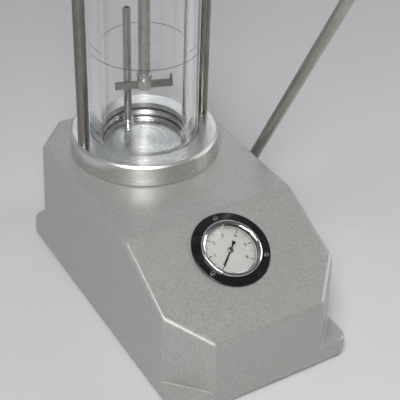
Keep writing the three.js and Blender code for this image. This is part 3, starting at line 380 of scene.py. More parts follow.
# ---------------------------------------------------------------- shapes: (corners, faces)
def soften(points, closed=True):
    """Profile points (r, z, fillet) with each corner rounded by its fillet."""
    out = []
    count = len(points)
    for i, point in enumerate(points):
        here = Vector(point[:2])
        radius = point[2] if len(point) > 2 else 0
        if radius <= 0 or (not closed and i in (0, count - 1)):
            out.append(tuple(here))
            continue
        before = Vector(points[i - 1][:2])
        after = Vector(points[(i + 1) % count][:2])
        reach = min(radius, 0.45 * (before - here).length, 0.45 * (after - here).length)
        start = here + (before - here).normalized() * reach
        end = here + (after - here).normalized() * reach
        for k in range(5):
            t = k / 4
            out.append(tuple(start * (1 - t) ** 2 + here * 2 * t * (1 - t) + end * t**2))
    return out


def lathe(points, sides=96, wave=None):
    """Solid turned about Z from a closed profile, with an optional wave(angle, r, z) on its radius."""
    profile = soften(points)
    corners, rows = [], []
    for r, z in profile:
        if r < 1e-6:
            rows.append([len(corners)] * sides)
            corners.append((0, 0, z))
            continue
        rows.append(list(range(len(corners), len(corners) + sides)))
        for k in range(sides):
            a = 2 * math.pi * k / sides
            rr = wave(a, r, z) if wave else r
            corners.append((rr * math.cos(a), rr * math.sin(a), z))
    faces = []
    for i, row in enumerate(rows):
        other = rows[(i + 1) % len(rows)]
        if row[0] == row[1] and other[0] == other[1]:
            continue
        for k in range(sides):
            j = (k + 1) % sides
            faces.append(tuple(dict.fromkeys((row[k], row[j], other[j], other[k]))))
    return corners, faces


def sleeve(bore, radius, low, high, sides, fillet=0.0):
    """Round ring or tube about Z."""
    return lathe([
        (bore, low, fillet), (radius, low, fillet), (radius, high, fillet), (bore, high, fillet),
    ], sides)


def slab(x, y, z):
    """Box between the given (low, high) pairs; the bevel comes from the piece's modifier."""
    corners = [(a, b, c) for c in z for b in y for a in x]
    faces = [(0, 2, 3, 1), (4, 5, 7, 6), (0, 1, 5, 4), (2, 6, 7, 3), (0, 4, 6, 2), (1, 3, 7, 5)]
    return corners, faces


def prism(outline, z0, z1):
    count = len(outline)
    corners = [(x, y, z0) for x, y in outline] + [(x, y, z1) for x, y in outline]
    faces = [tuple(reversed(range(count))), tuple(range(count, 2 * count))]
    faces += [(i, (i + 1) % count, count + (i + 1) % count, count + i) for i in range(count)]
    return corners, faces


def moved(shape, matrix):
    corners, faces = shape
    return [tuple(matrix @ Vector(c)) for c in corners], faces


def shift(x, y, z):
    return Matrix.Translation((x, y, z))


def piece(name, shapes, where, body, material, replaces=(), bevel=0.0, crease=32, weighted=True):
    """Joins shapes into one smooth-shaded mesh, hangs it on its body in place of the CAD nodes it
    replaces, and rounds its edges where a bevel is given."""
    mesh = bpy.data.meshes.new(name)
    bm = bmesh.new()
    for corners, faces in shapes:
        made = [bm.verts.new([c * MM for c in corner]) for corner in corners]
        for face in faces:
            if len(face) > 2:
                bm.faces.new([made[i] for i in face])
    bmesh.ops.recalc_face_normals(bm, faces=bm.faces)
    for face in bm.faces:
        face.smooth = True
    if not bevel:
        limit = math.radians(crease)
        for edge in bm.edges:
            if len(edge.link_faces) == 2 and edge.calc_face_angle(0) > limit:
                edge.smooth = False
    bm.to_mesh(mesh)
    bm.free()
    mesh.materials.append(MATERIALS[material])
    made = bpy.data.objects.new(name, mesh)
    bpy.context.scene.collection.objects.link(made)
    made.matrix_world = where
    if bevel:
        rounding = made.modifiers.new("edges", "BEVEL")
        rounding.width = bevel * MM
        rounding.segments = 3
        rounding.limit_method = "ANGLE"
        rounding.angle_limit = math.radians(crease)
    if weighted:
        made.modifiers.new("shading", "WEIGHTED_NORMAL").keep_sharp = True
    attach(made, body)
    if replaces:
        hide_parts(*replaces)
    return made


def hollows(count, depth, sharp, inside):
    """Wave for a grip: finger hollows, all round the part beyond a radius."""
    def wave(a, r, z):
        return r - depth * max(0.0, math.cos(count * a)) ** sharp if r > inside else r
    return wave


def knurl(count, depth, inside, low=-math.inf, high=math.inf):
    """Wave for a grip: fine straight ridges beyond a radius and between two heights."""
    def wave(a, r, z):
        ridged = r > inside and low < z < high
        return r - depth * (0.5 + 0.5 * math.cos(count * a)) if ridged else r
    return wave


# ---------------------------------------------------------------- cast housing
def wall_at(z):
    return HALF_W + DRAFT * (DECK_Z - z)


def plan(z, inset, cut_corners, radius, steps):
    """Rounded plan outline of the casting at one height, anticlockwise from the right wall."""
    w = wall_at(z) - inset
    rear = REAR_Y + DRAFT * (DECK_Z - z) - inset
    front = FRONT_Y + DRAFT * (FRONT_TOP_Z - z) - inset
    right, back, left, near = (1, 0, w), (0, 1, rear), (-1, 0, w), (0, -1, front)
    lines = [right, back, left, near]
    if cut_corners:
        size = math.hypot(CORNER_X, CORNER_Y)
        nx, ny = CORNER_Y / size, CORNER_X / size

        def corner(sx, sy, y):
            return (sx * nx, sy * ny, (w + inset - CORNER_X) * nx + (y + inset) * ny - inset)

        lines = [
            right, corner(1, 1, rear), back, corner(-1, 1, rear),
            left, corner(-1, -1, front), near, corner(1, -1, front),
        ]
    points = []
    for (a, b, c), (d, e, f) in zip(lines, lines[1:] + lines[:1]):
        det = a * e - b * d
        tip = Vector(((c * e - f * b) / det, (a * f - c * d) / det))
        turn = math.acos(a * d + b * e)
        back_off = radius * math.tan(turn / 2)
        start = tip + Vector((b, -a)) * back_off
        centre = start - Vector((a, b)) * radius
        first = math.atan2(b, a)
        for k in range(steps + 1):
            angle = first + turn * k / steps
            points.append(centre + radius * Vector((math.cos(angle), math.sin(angle))))
    return points


SIDE_WALL, TOP_WALL = 4.5, 5.0
CREASE_ROUND = 4.0
CREASE_T = [-1 + k / 4 for k in range(9)]
PLAN_STEPS = 7


def top_height(y, crease):
    """Height of the deck and slope, with the crease between them rounded."""
    if y >= -crease + CREASE_ROUND:
        return DECK_Z
    if y <= -crease - CREASE_ROUND:
        return DECK_Z + SLOPE * (y + crease)
    s = (-crease + CREASE_ROUND - y) / (4 * CREASE_ROUND)
    return DECK_Z - SLOPE * 4 * CREASE_ROUND * s * s


def with_crease(points, left, right):
    """Outline with extra points on both side walls, where the crease runs out."""
    half = len(points) // 2
    return points[:half] + left + points[half:] + right


def draped(inset, drop, crease, radius):
    """Plan outline laid on the deck and slope, a drop below them."""
    points = []
    for i in range(8 * (PLAN_STEPS + 1)):
        z = DECK_Z
        for _ in range(4):
            spot = plan(z, inset, True, radius, PLAN_STEPS)[i]
            z = top_height(spot.y, crease) - drop
        points.append((spot.x, spot.y, z))

    def on_wall(side, t):
        y = -crease + CREASE_ROUND * t
        z = top_height(y, crease) - drop
        return (side * (wall_at(z) - inset), y, z)

    return with_crease(points, [on_wall(-1, -t) for t in CREASE_T], [on_wall(1, t) for t in CREASE_T])


def level(z, inset, crease, radius):
    """Plan outline at one height, with the same count of points as a draped one."""
    points = [(p.x, p.y, z) for p in plan(z, inset, True, radius, PLAN_STEPS)]
    w = wall_at(z) - inset
    left = [(-w, -crease - CREASE_ROUND * t, z) for t in CREASE_T]
    right = [(w, -crease + CREASE_ROUND * t, z) for t in CREASE_T]
    return with_crease(points, left, right)


def stack(rows):
    """Band of faces between outlines of equal length."""
    count = len(rows[0])
    corners = [c for row in rows for c in row]
    faces = []
    for k in range(len(rows) - 1):
        for i in range(count):
            j = (i + 1) % count
            faces.append((k * count + i, k * count + j, (k + 1) * count + j, (k + 1) * count + i))
    return corners, faces


def draped_caps(base):
    """Faces that close a draped outline: deck, strips of the crease, and slope last."""
    half = 4 * (PLAN_STEPS + 1)
    n = len(CREASE_T)
    last = 2 * half + 2 * n - 1
    caps = [list(range(half + 1)) + [last]]
    caps += [[half + k, half + k + 1, last - 1 - k, last - k] for k in range(n - 1)]
    caps.append(list(range(half + n - 1, 2 * half + n + 1)))
    return [tuple(base + i for i in cap) for cap in caps]


def gauge_opening(depth):
    """Edge of the gauge's hole, at a depth measured square to the slope."""
    turn = spin(FACE, "X")
    middle = Vector((0, -CREASE_Y, DECK_Z)) + turn @ Vector((0, -GAUGE_DOWN, -depth))
    points = []
    for k in range(OPENING_SIDES):
        a = 2 * math.pi * k / OPENING_SIDES
        points.append(tuple(middle + turn @ Vector((OPENING_R * math.cos(a), OPENING_R * math.sin(a), 0))))
    return points


def casting():
    """Hollow shell from the inside of its top, down the inside, round the rim and up the outside."""
    inner_crease = CREASE_Y - TOP_WALL * math.tan(math.radians(FACE) / 2)
    rows = [
        draped(SIDE_WALL, TOP_WALL, inner_crease, 3),
        level(6, SIDE_WALL, inner_crease, 3),
        level(4.8, 2.8, CREASE_Y, 4),
        level(RIM_Z, 2.8, CREASE_Y, 4),
        level(RIM_Z, 0.8, CREASE_Y, CORNER_R),
        level(RIM_Z + 0.8, 0, CREASE_Y, CORNER_R),
        level(40, 0, CREASE_Y, CORNER_R),
    ]
    steps = 6
    for k in range(steps + 1):
        a = math.pi / 2 * k / steps
        inward = EDGE_R * (1 - math.cos(a))
        rows.append(draped(inward, EDGE_R * (1 - math.sin(a)), CREASE_Y, max(CORNER_R - inward, 1.5)))
    corners, faces = stack(rows)
    rims = []
    for base, depth in ((0, TOP_WALL), ((len(rows) - 1) * len(rows[0]), 0)):
        *caps, slope = draped_caps(base)
        faces += caps
        rim = list(range(len(corners), len(corners) + OPENING_SIDES + 1))
        rim[-1] = rim[0]
        corners += gauge_opening(depth)
        half = OPENING_SIDES // 2
        faces.append((slope[-1], slope[0], *rim[half::-1]))
        faces.append((*slope, *rim[:half - 1:-1]))
        rims.append(rim)
    inner, outer = rims
    faces += [(outer[k], outer[k + 1], inner[k + 1], inner[k]) for k in range(OPENING_SIDES)]
    return corners, faces


def ledges():
    """Foot of the casting that shows outside its cut corners."""
    rows = []
    heights = [(RIM_Z, 0.8), (RIM_Z + 0.8, 0.0)]
    heights += [
        (LEDGE_Z - LEDGE_EDGE * (1 - math.sin(a)), LEDGE_EDGE * (1 - math.cos(a)))
        for a in [math.pi / 2 * k / 5 for k in range(6)]
    ]
    for z, inset in heights:
        rows.append([(p.x, p.y, z) for p in plan(z, inset + 0.2, False, LEDGE_R - inset, 8)])
    corners, faces = stack(rows)
    count = len(rows[0])
    faces.append(tuple(range(count)))
    faces.append(tuple(range((len(rows) - 1) * count, len(rows) * count)))
    return corners, faces


def boss(face, r, bore, y, z):
    """Round boss on the right wall, bored through, with its machined face at the given x."""
    root = 82
    ring = lathe([
        (bore, root), (r + 2.5, root), (r + 0.6, root + 4, 1.5), (r, face, 1.2), (bore, face),
    ], 64)
    return moved(ring, shift(0, y, z) @ spin(90, "Y"))


piece(
    "casting",
    [
        casting(), ledges(),
        boss(PIVOT_FACE, 15, 9.3, PIVOT_Y, PIVOT_Z), boss(VALVE_FACE, 12, 7.3, VALVE_Y, VALVE_Z),
    ],
    home, "stand", "cast_paint", ["housing"],
)

# ---------------------------------------------------------------- chamber
base = DECK_Z + GAP
piece(
    "base_ring",
    [lathe([
        (0, DECK_Z - 23), (38, DECK_Z - 23, 0.5), (38, base), (68.2, base, 0.3), (68.4, base + 0.9, 0.3),
        (69.2, base + 1.3, 0.3), (69.2, RING_TOP - 2.2, 0.5), (67.0, RING_TOP, 0.5), (50.6, RING_TOP, 0.4),
        (50.6, SEAT_Z, 0.2), (40.2, SEAT_Z, 0.3), (40.2, FLOOR_Z - 1.5), (38.6, FLOOR_Z - 1.5),
        (38.6, FLOOR_Z, 0.2), (0, FLOOR_Z),
    ], 160)],
    home, "stand", "ring_aluminium", ["chamber_base"],
)
piece(
    "tube_gasket",
    [sleeve(TUBE_BORE, TUBE_R, SEAT_Z + GAP, TUBE_FOOT - GAP, 128, 0.3)],
    home, "stand", "black_rubber", ["lower_gasket"],
)
# frosted skin on the saw-cut lower end of the tube
piece(
    "tube_ground_end",
    [sleeve(TUBE_BORE, TUBE_R, TUBE_FOOT - 0.04, TUBE_FOOT + 0.03, 192)],
    home, "stand", "ground_acrylic", weighted=False,
)
piece(
    "chamber_tube",
    [sleeve(TUBE_BORE, TUBE_R, TUBE_FOOT, TUBE_TOP, 192)],
    home, "stand", "clear_acrylic", ["acrylic_tube"],
)
piece(
    "fill_line",
    [sleeve(TUBE_R - 0.03, TUBE_R + 0.02, FILL_Z, FILL_Z + 0.6, 192)],
    home, "stand", "line_ink", weighted=False,
)
piece(
    "top_gasket",
    [sleeve(TUBE_BORE, TUBE_R, TUBE_TOP + 0.1, TUBE_TOP + 2.95, 128, 0.3)],
    home, "stand", "black_rubber", ["upper_gasket"],
)
GROOVE = FLANGE_Z + 3.5
piece(
    "upper_flange",
    [lathe([
        (36, GROOVE, 0.3), (50.6, GROOVE, 0.2), (50.6, FLANGE_Z, 0.3), (67, FLANGE_Z, 0.5),
        (69.2, FLANGE_Z + 2.2, 0.5), (69.2, FLANGE_TOP - 2.2, 0.5), (67, FLANGE_TOP, 0.5),
        (44, FLANGE_TOP, 0.2), (44, NECK_TOP - 1, 0.3), (43, NECK_TOP, 0.3), (36, NECK_TOP, 0.4),
    ], 160)],
    home, "stand", "turned_aluminium", ["top_flange"],
)
NUT_R = 6.93
hexagon = [
    (NUT_R * math.cos(math.radians(60 * k)), NUT_R * math.sin(math.radians(60 * k))) for k in range(6)
]
for side, s in (("left", -1), ("right", 1)):
    spot = place(s * PILLAR_X, 0, 0)
    piece(
        f"post_{side}",
        [lathe([
            (0, RING_TOP - 13), (4, RING_TOP - 13, 0.5), (4, RING_TOP + GAP),
            (5.3, RING_TOP + GAP, 0.25), (5.3, FLANGE_Z - GAP, 0.25), (4, FLANGE_Z - GAP),
            (4, FLANGE_TOP + 10, 0.4), (0, FLANGE_TOP + 10),
        ], 48)],
        spot, "stand", "dark_steel", [f"pillar_{side}"],
    )
    z = FLANGE_TOP + GAP
    piece(
        f"post_nut_{side}",
        [prism(hexagon, z, z + 7), lathe([
            (0, z + 3), (5.6, z + 3), (5.6, z + 7.3, 0.4), (5.3, z + 9, 1), (4.2, z + 11.6, 1.5),
            (2.2, z + 13.1, 1), (0, z + 13.4),
        ], 48)],
        spot, "stand", "bright_steel", [f"pillar_nut_{side}"], bevel=0.35, crease=50,
    )
air = place(AIR_X, AIR_Y, 0)
piece(
    "air_pipe",
    [lathe([
        (2.5, FLOOR_Z - 5.9), (4, FLOOR_Z - 5.9, 0.3), (4, FLOOR_Z + 119.7, 0.5), (2.5, FLOOR_Z + 119.7, 0.3),
    ], 40)],
    air, "stand", "rod_steel", ["air_tube"],
)
piece(
    "air_pipe_foot",
    [lathe([
        (4.2, FLOOR_Z + GAP), (6.6, FLOOR_Z + GAP, 0.3), (6.6, FLOOR_Z + 2.5, 0.5),
        (5.4, FLOOR_Z + 3.2, 0.3), (5.4, FLOOR_Z + 6, 0.5), (4.2, FLOOR_Z + 6, 0.2),
    ], 48)],
    air, "stand", "bright_steel", ["air_tube_nut"],
)

# ---------------------------------------------------------------- lid, lock ring, gland, holder
piece(
    "chamber_lid",
    [lathe([
        (5.5, FLANGE_Z + 16), (35.6, FLANGE_Z + 16, 0.5), (35.6, FLANGE_Z + 19, 0.2), (33, FLANGE_Z + 19),
        (33, FLANGE_Z + 22.6), (35.6, FLANGE_Z + 22.6, 0.2), (35.6, LID_Z), (43.5, LID_Z, 0.3),
        (43.5, LID_Z + 6, 0.8), (14, LID_Z + 6, 1.5), (12, LID_Z + 8, 1.0), (12, BOSS_TOP, 0.4),
        (5.5, BOSS_TOP),
    ], 128)],
    home, "lid_cover", "turned_steel", ["lid"],
)
piece(
    "lid_ring_seal",
    [lathe([
        (33.1, FLANGE_Z + 19.1, 0.5), (35.2, FLANGE_Z + 19.1, 0.8), (35.7, FLANGE_Z + 20.8, 0.8),
        (35.2, FLANGE_Z + 22.5, 0.8), (33.1, FLANGE_Z + 22.5, 0.5),
    ], 96)],
    home, "lid_cover", "black_rubber", ["lid_seal"],
)
lip = LID_Z + 6.3
ring_z = FLANGE_TOP + 1.5


ring_hollows = hollows(12, 1.9, 2.2, 46)
ring_knurl = knurl(180, 0.22, 46, ring_z + 2.5, lip + 3)


def ring_grip(a, r, z):
    return ring_knurl(a, ring_hollows(a, r, z), z)


piece(
    "locking_ring",
    [lathe([
        (44.4, ring_z, 0.3), (49.9, ring_z, 0.3), (51.4, ring_z + 1.5, 0.4), (51.4, ring_z + 2.4),
        (51.4, ring_z + 2.6), (51.4, lip + 2.9), (51.4, lip + 3.1), (51.4, lip + 3.5, 0.4),
        (49.4, lip + 5.5, 0.6), (38, lip + 5.5, 0.5), (38, lip), (44.4, lip),
    ], 720, ring_grip)],
    home, "lock_ring_body", "turned_aluminium", ["lock_ring"],
)
piece(
    "gland_cap",
    [lathe([
        (12.3, GLAND_Z), (16, GLAND_Z, 0.3), (17, GLAND_Z + 1, 0.4), (17, GLAND_Z + 16, 0.4),
        (16, GLAND_Z + 17, 0.4), (5.5, GLAND_Z + 17, 0.3), (5.5, BOSS_TOP + 0.4), (12.3, BOSS_TOP + 0.4),
    ], 240, knurl(48, 0.35, 16.5))],
    home, "gland_body", "turned_steel", ["gland_nut"],
)
ROD_FOOT = BAR_Z + 4.3
piece(
    "slide_rod",
    [lathe([(0, ROD_FOOT), (5.3, ROD_FOOT, 0.3), (5.3, ROD_TOP, 0.3), (0, ROD_TOP)], 48)],
    home, "holder", "rod_steel", ["holder_rod"],
)
piece(
    "pull_knob",
    [lathe([
        (0, ROD_TOP + 0.3), (5.5, ROD_TOP + 0.3), (5.5, ROD_TOP - 12), (8, ROD_TOP - 12, 0.5),
        (9, ROD_TOP - 6, 2), (15.2, ROD_TOP, 2), (16.5, ROD_TOP + 6, 3), (14.5, ROD_TOP + 12, 3),
        (8, ROD_TOP + 16.5, 2.5), (0, ROD_TOP + 17.5),
    ], 160, hollows(10, 0.8, 2, 14.8))],
    home, "holder", "black_plastic", ["rod_knob"],
)
piece(
    "bar_hub",
    [lathe([
        (0, -4.2), (5.7, -4.2, 0.3), (6.3, -3.4, 0.3), (6.3, -3.0), (6.3, -2.8), (6.3, 4.6), (6.3, 4.8),
        (6.3, 5.4, 0.3), (7.0, 9.5, 0.8), (6.6, 12.2, 0.6), (6.0, 13, 0.3), (5.45, 13), (5.45, 4.2), (0, 4.2),
    ], 168, knurl(28, 0.34, 6.25, -2.9, 4.7))],
    bar_frame, "holder_bar", "turned_steel", ["holder_hub"],
)
PIN_OUT = 25.1
pin = lathe([(0, -1), (1.3, -1), (1.3, 8, 0.3), (0.8, 9, 0.3), (0, 9.2)], 24)
piece(
    "rest_bar",
    [slab((-26.5, 26.5), (-1.7, 1.7), (-3.3, 3.3)), moved(pin, shift(PIN_OUT, 0, 0))],
    bar_frame, "holder_bar", "bar_steel", ["crossbar"], bevel=0.4,
)

# ---------------------------------------------------------------- gauge
piece(
    "gauge_body",
    [lathe([
        (0, -28), (24, -28), (26, -26, 0.5), (26, 0.05), (35, 0.05, 0.2), (35.5, 0.5, 0.3), (35.5, 1.5, 0.4),
        (34.9, 2.0, 0.4), (24, 2.0), (24, -2), (22, -2), (22, -26), (0, -26),
    ], 128)],
    face_frame, "stand", "black_enamel", ["gauge_case"],
)
piece(
    "gauge_rim",
    [lathe([
        (24.2, 2.05), (27.0, 2.05, 0.2), (27.3, 2.6, 0.3), (27.2, 3.5, 0.5), (26.5, 4.4, 0.5),
        (25.3, 4.68, 0.4), (24.2, 4.3, 0.3), (23.3, 3.75, 0.1), (24.2, 3.68),
    ], 128)],
    face_frame, "stand", "bright_steel", ["gauge_bezel"],
)
piece(
    "gauge_pane",
    [lathe([(0, 2.0), (23.9, 2.0, 0.2), (23.9, 3.6, 0.2), (0, 3.6)], 96)],
    face_frame, "stand", "gauge_window", ["gauge_glass"],
)
piece(
    "dial_plate",
    [lathe([(1.4, -1.95), (23.8, -1.95), (23.8, -1.2, 0.1), (1.4, -1.2)], 96)],
    face_frame, "stand", "dial_white", ["gauge_dial"],
)


DIAL_Z, INK_Z = -1.2, -1.14
SCALE_R, NUMBER_R = 22.4, 15.3
ZERO, SWEEP, MAJORS = 133.0, 266.0, 6


def tick(angle, inner, width):
    """Mark of the scale, from a radius out to the scale's circle."""
    mark = slab((-width / 2, width / 2), (inner, SCALE_R), (DIAL_Z - 0.05, INK_Z))
    return moved(mark, spin(angle, "Z"))


marks = []
for k in range(MAJORS * 10 + 1):
    angle = ZERO - SWEEP * k / (MAJORS * 10)
    if k % 10 == 0:
        marks.append(tick(angle, 18.2, 0.65))
    elif k % 5 == 0:
        marks.append(tick(angle, 19.6, 0.42))
    else:
        marks.append(tick(angle, 20.8, 0.26))
marks.append(sleeve(SCALE_R, SCALE_R + 0.35, DIAL_Z - 0.02, INK_Z, 96))
piece("dial_scale", marks, face_frame, "stand", "dial_ink", weighted=False)
for k in range(MAJORS + 1):
    a = math.radians(ZERO - SWEEP * k / MAJORS)
    glyph = bpy.data.curves.new(f"dial_number_{k}", "FONT")
    glyph.body = str(k)
    glyph.size = 4.6 * MM
    glyph.align_x = glyph.align_y = "CENTER"
    glyph.extrude = 0.04 * MM
    glyph.offset = 0.06 * MM
    glyph.materials.append(MATERIALS["dial_ink"])
    number = bpy.data.objects.new(f"dial_number_{k}", glyph)
    bpy.context.scene.collection.objects.link(number)
    spot = Vector((-NUMBER_R * math.sin(a), NUMBER_R * math.cos(a), DIAL_Z + 0.03))
    number.matrix_world = face_frame @ shift(*(spot * MM))
    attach(number, "stand")

half_needle = [(0.85, -7.5), (0.55, -3), (0.75, 0), (0.62, 6), (0.95, 13), (0.25, 19.3)]
needle = half_needle + [(-x, y) for x, y in reversed(half_needle)]
weight = [(-1.7, -9.2), (1.7, -9.2), (1.4, -6.2), (-1.4, -6.2)]
piece(
    "pressure_pointer",
    [
        prism(needle, -0.25, 0.2), prism(weight, -0.3, 0.3),
        lathe([(0, -6), (0.9, -6), (0.9, -0.5), (0, -0.5)], 16),
    ],
    face_frame @ spin(ZERO, "Z"), "pointer", "black_enamel", ["gauge_pointer"], bevel=0.08,
)
piece(
    "pointer_cap",
    [lathe([(0, -0.5), (2.6, -0.5), (2.6, 0.35, 0.2), (1.7, 0.85, 0.3), (0, 0.95)], 48)],
    face_frame, "pointer", "dark_steel",
)
for i, angle in enumerate((90, 210, 330), 1):
    a = math.radians(angle)
    spot = Vector((SCREW_CIRCLE_R * math.cos(a), SCREW_CIRCLE_R * math.sin(a), 2.05))
    piece(
        f"flange_screw_{i}",
        [lathe([
            (0, -11), (1.4, -11, 0.3), (1.5, 0), (2.4, 0, 0.2), (2.35, 0.6, 0.4), (1.8, 1.0, 0.4),
            (0.9, 1.1, 0.1), (0.7, 0.4, 0.1), (0, 0.4),
        ], 40)],
        face_frame @ shift(*(spot * MM)), "stand", "grey_screw",
        [f"gauge_screw_{i}"],
    )

# ---------------------------------------------------------------- lever
HUB_X0, HUB_X1 = 90.6, 105.4
piece(
    "pivot_bush",
    [lathe([
        (6.15, 70), (9, 70), (9, PIVOT_FACE + GAP), (12, PIVOT_FACE + GAP, 0.2),
        (12, PIVOT_FACE + 2, 0.4), (6.15, PIVOT_FACE + 2, 0.3),
    ], 64)],
    pivot_frame, "stand", "brass", ["shaft_bush"],
)
neck = lathe([(5.35, 9), (7.4, 9), (7.4, 26, 0.4), (6.6, 27, 0.3), (5.35, 27, 0.2)], 64)
to_pivot = shift(LEVER_X, PIVOT_Y, PIVOT_Z) @ spin(LEAN, "X")
hub = lathe([
    (6.1, HUB_X0), (13, HUB_X0, 0.3), (14, HUB_X0 + 1, 0.5), (14, HUB_X1 - 1, 0.5), (13, HUB_X1, 0.3),
    (6.1, HUB_X1),
], 96)
to_shaft = shift(0, PIVOT_Y, PIVOT_Z) @ spin(90, "Y")
piece(
    "lever_socket",
    [moved(hub, to_shaft), moved(neck, to_pivot)],
    home, "lever", "dark_steel", ["lever_hub"],
)
piece(
    "hub_cap_screw",
    [lathe([
        (0, HUB_X1 + GAP), (8.5, HUB_X1 + GAP, 0.2), (8.5, HUB_X1 + 1.6, 0.3), (5, HUB_X1 + 1.6),
        (5, HUB_X1 + 5, 0.5), (4.2, HUB_X1 + 6, 0.4), (2.6, HUB_X1 + 6), (2.4, HUB_X1 + 3.4),
        (0, HUB_X1 + 3.2),
    ], 48)],
    pivot_frame, "lever", "bright_steel", ["hub_screw"],
)
piece(
    "lever_bar",
    [lathe([(0, 15), (5.2, 15), (5.2, LEVER_END, 0.5), (0, LEVER_END)], 48)],
    lever_frame, "lever", "lever_steel", ["lever_rod"],
)
BALL_R = 17.0
ball = [
    (BALL_R * math.cos(math.radians(a)), LEVER_END + 5 + BALL_R * math.sin(math.radians(a)))
    for a in range(-54, 90, 6)
]
piece(
    "ball_grip",
    [lathe([
        (0, LEVER_END + 0.4), (5.4, LEVER_END + 0.4), (5.4, LEVER_END - 12), (8, LEVER_END - 12, 0.6),
        *ball, (0, LEVER_END + 5 + BALL_R),
    ], 80)],
    lever_frame, "lever", "black_plastic", ["lever_knob"],
)

# ---------------------------------------------------------------- release valve
piece(
    "valve_seat",
    [lathe([
        (1.2, 58), (4, 58, 0.3), (4, 62), (7, 62, 0.4), (7, VALVE_FACE + GAP),
        (11, VALVE_FACE + GAP, 0.2), (11, VALVE_FACE + 4, 0.5), (3.2, VALVE_FACE + 4, 0.3),
        (3.2, 67), (1.2, 66),
    ], 64)],
    valve_frame, "stand", "brass", ["valve_body"],
)
KNOB_X = VALVE_FACE + 6.5
piece(
    "valve_grip",
    [lathe([
        (3.15, KNOB_X), (9, KNOB_X, 0.4), (10.5, KNOB_X + 1.5, 0.5), (10.5, KNOB_X + 11, 0.8),
        (9, KNOB_X + 12.5, 0.8), (0, KNOB_X + 12.5), (0, KNOB_X + 9.8), (3.15, KNOB_X + 9.8),
    ], 192, hollows(8, 1.2, 1.5, 8.5))],
    valve_frame, "valve_handle", "black_plastic", ["valve_knob"],
)

# ---------------------------------------------------------------- feet
FOOT_IN = 12.0
foot_x = wall_at(RIM_Z) - FOOT_IN
foot_front = FRONT_Y + DRAFT * (FRONT_TOP_Z - RIM_Z) - FOOT_IN
foot_rear = REAR_Y + DRAFT * (DECK_Z - RIM_Z) - FOOT_IN
for i, (sx, y) in enumerate(((1, foot_rear), (-1, foot_rear), (-1, -foot_front), (1, -foot_front)), 1):
    piece(
        f"rubber_foot_{i}",
        [lathe([
            (0, 0), (9.3, 0, 0.4), (10.5, 1.2, 0.5), (10.5, 2.95, 0.2), (4, 2.95), (4, 10, 0.4),
            (3, 11), (0, 11),
        ], 48)],
        place(sx * foot_x, y, 0), "stand", "black_rubber", [f"foot_{i}"],
    )


# ---------------------------------------------------------------- CAD nodes kept as they are, inside
def mesh_group(name, build):
    group = bpy.data.node_groups.new(name, "GeometryNodeTree")
    group.interface.new_socket("Geometry", in_out="INPUT", socket_type="NodeSocketGeometry")
    group.interface.new_socket("Geometry", in_out="OUTPUT", socket_type="NodeSocketGeometry")
    start = group.nodes.new("NodeGroupInput").outputs[0]
    end = group.nodes.new("NodeGroupOutput").inputs[0]
    group.links.new(build(group, start), end)
    return group


def weld(group, geometry):
    """Joins the corners of a faceted node, and drops the normals it came with."""
    bare = group.nodes.new("GeometryNodeRemoveAttribute")
    bare.inputs["Name"].default_value = "custom_normal"
    group.links.new(geometry, bare.inputs[0])
    merge = group.nodes.new("GeometryNodeMergeByDistance")
    merge.inputs["Distance"].default_value = 1e-6
    group.links.new(bare.outputs[0], merge.inputs["Geometry"])
    return merge.outputs[0]


def shade(group, geometry):
    """Smooth faces with sharp edges where they meet at a steep angle."""
    faces = group.nodes.new("GeometryNodeSetShadeSmooth")
    faces.domain = "FACE"
    group.links.new(geometry, faces.inputs["Geometry"])
    angle = group.nodes.new("GeometryNodeInputMeshEdgeAngle")
    above = group.nodes.new("FunctionNodeCompare")
    above.operation = "GREATER_THAN"
    group.links.new(angle.outputs[0], above.inputs[0])
    above.inputs[1].default_value = math.radians(38)
    edges = group.nodes.new("GeometryNodeSetShadeSmooth")
    edges.domain = "EDGE"
    edges.inputs["Shade Smooth"].default_value = False
    group.links.new(faces.outputs[0], edges.inputs["Geometry"])
    group.links.new(above.outputs[0], edges.inputs["Selection"])
    return edges.outputs[0]


weld_group = mesh_group("weld_corners", weld)
shade_group = mesh_group("shade_by_angle", shade)
KEPT = {
    "turned_aluminium": ["piston", "pump_barrel"],
    "sheet_steel": ["bottom_plate", "pump_head", "pump_guide"],
    "dark_steel": ["base_ring_nut", "lever_shaft", "crank_arm", "piston_rod", "piston_yoke", "valve_needle"],
    "bright_steel": ["plate_screw_1", "plate_screw_2", "plate_screw_3", "plate_screw_4"],
    "brass": ["gauge_stem", "manifold_block"],
    "copper_pipe": ["pipe_gauge", "pipe_pump", "pipe_release"],
    "black_rubber": ["piston_seal"],
}
NO_BEVEL = {
    "pipe_gauge", "pipe_pump", "pipe_release", "piston_seal", "pump_barrel", "valve_needle", "lever_shaft",
}
for material, names in KEPT.items():
    for name in names:
        kept = nodes[name]
        kept.data.materials.clear()
        kept.data.materials.append(MATERIALS[material])
        kept.modifiers.new("weld", "NODES").node_group = weld_group
        if name not in NO_BEVEL:
            edge = kept.modifiers.new("edges", "BEVEL")
            edge.width = 0.25 * MM
            edge.segments = 2
            edge.limit_method = "ANGLE"
            edge.angle_limit = math.radians(50)
        kept.modifiers.new("shade", "NODES").node_group = shade_group

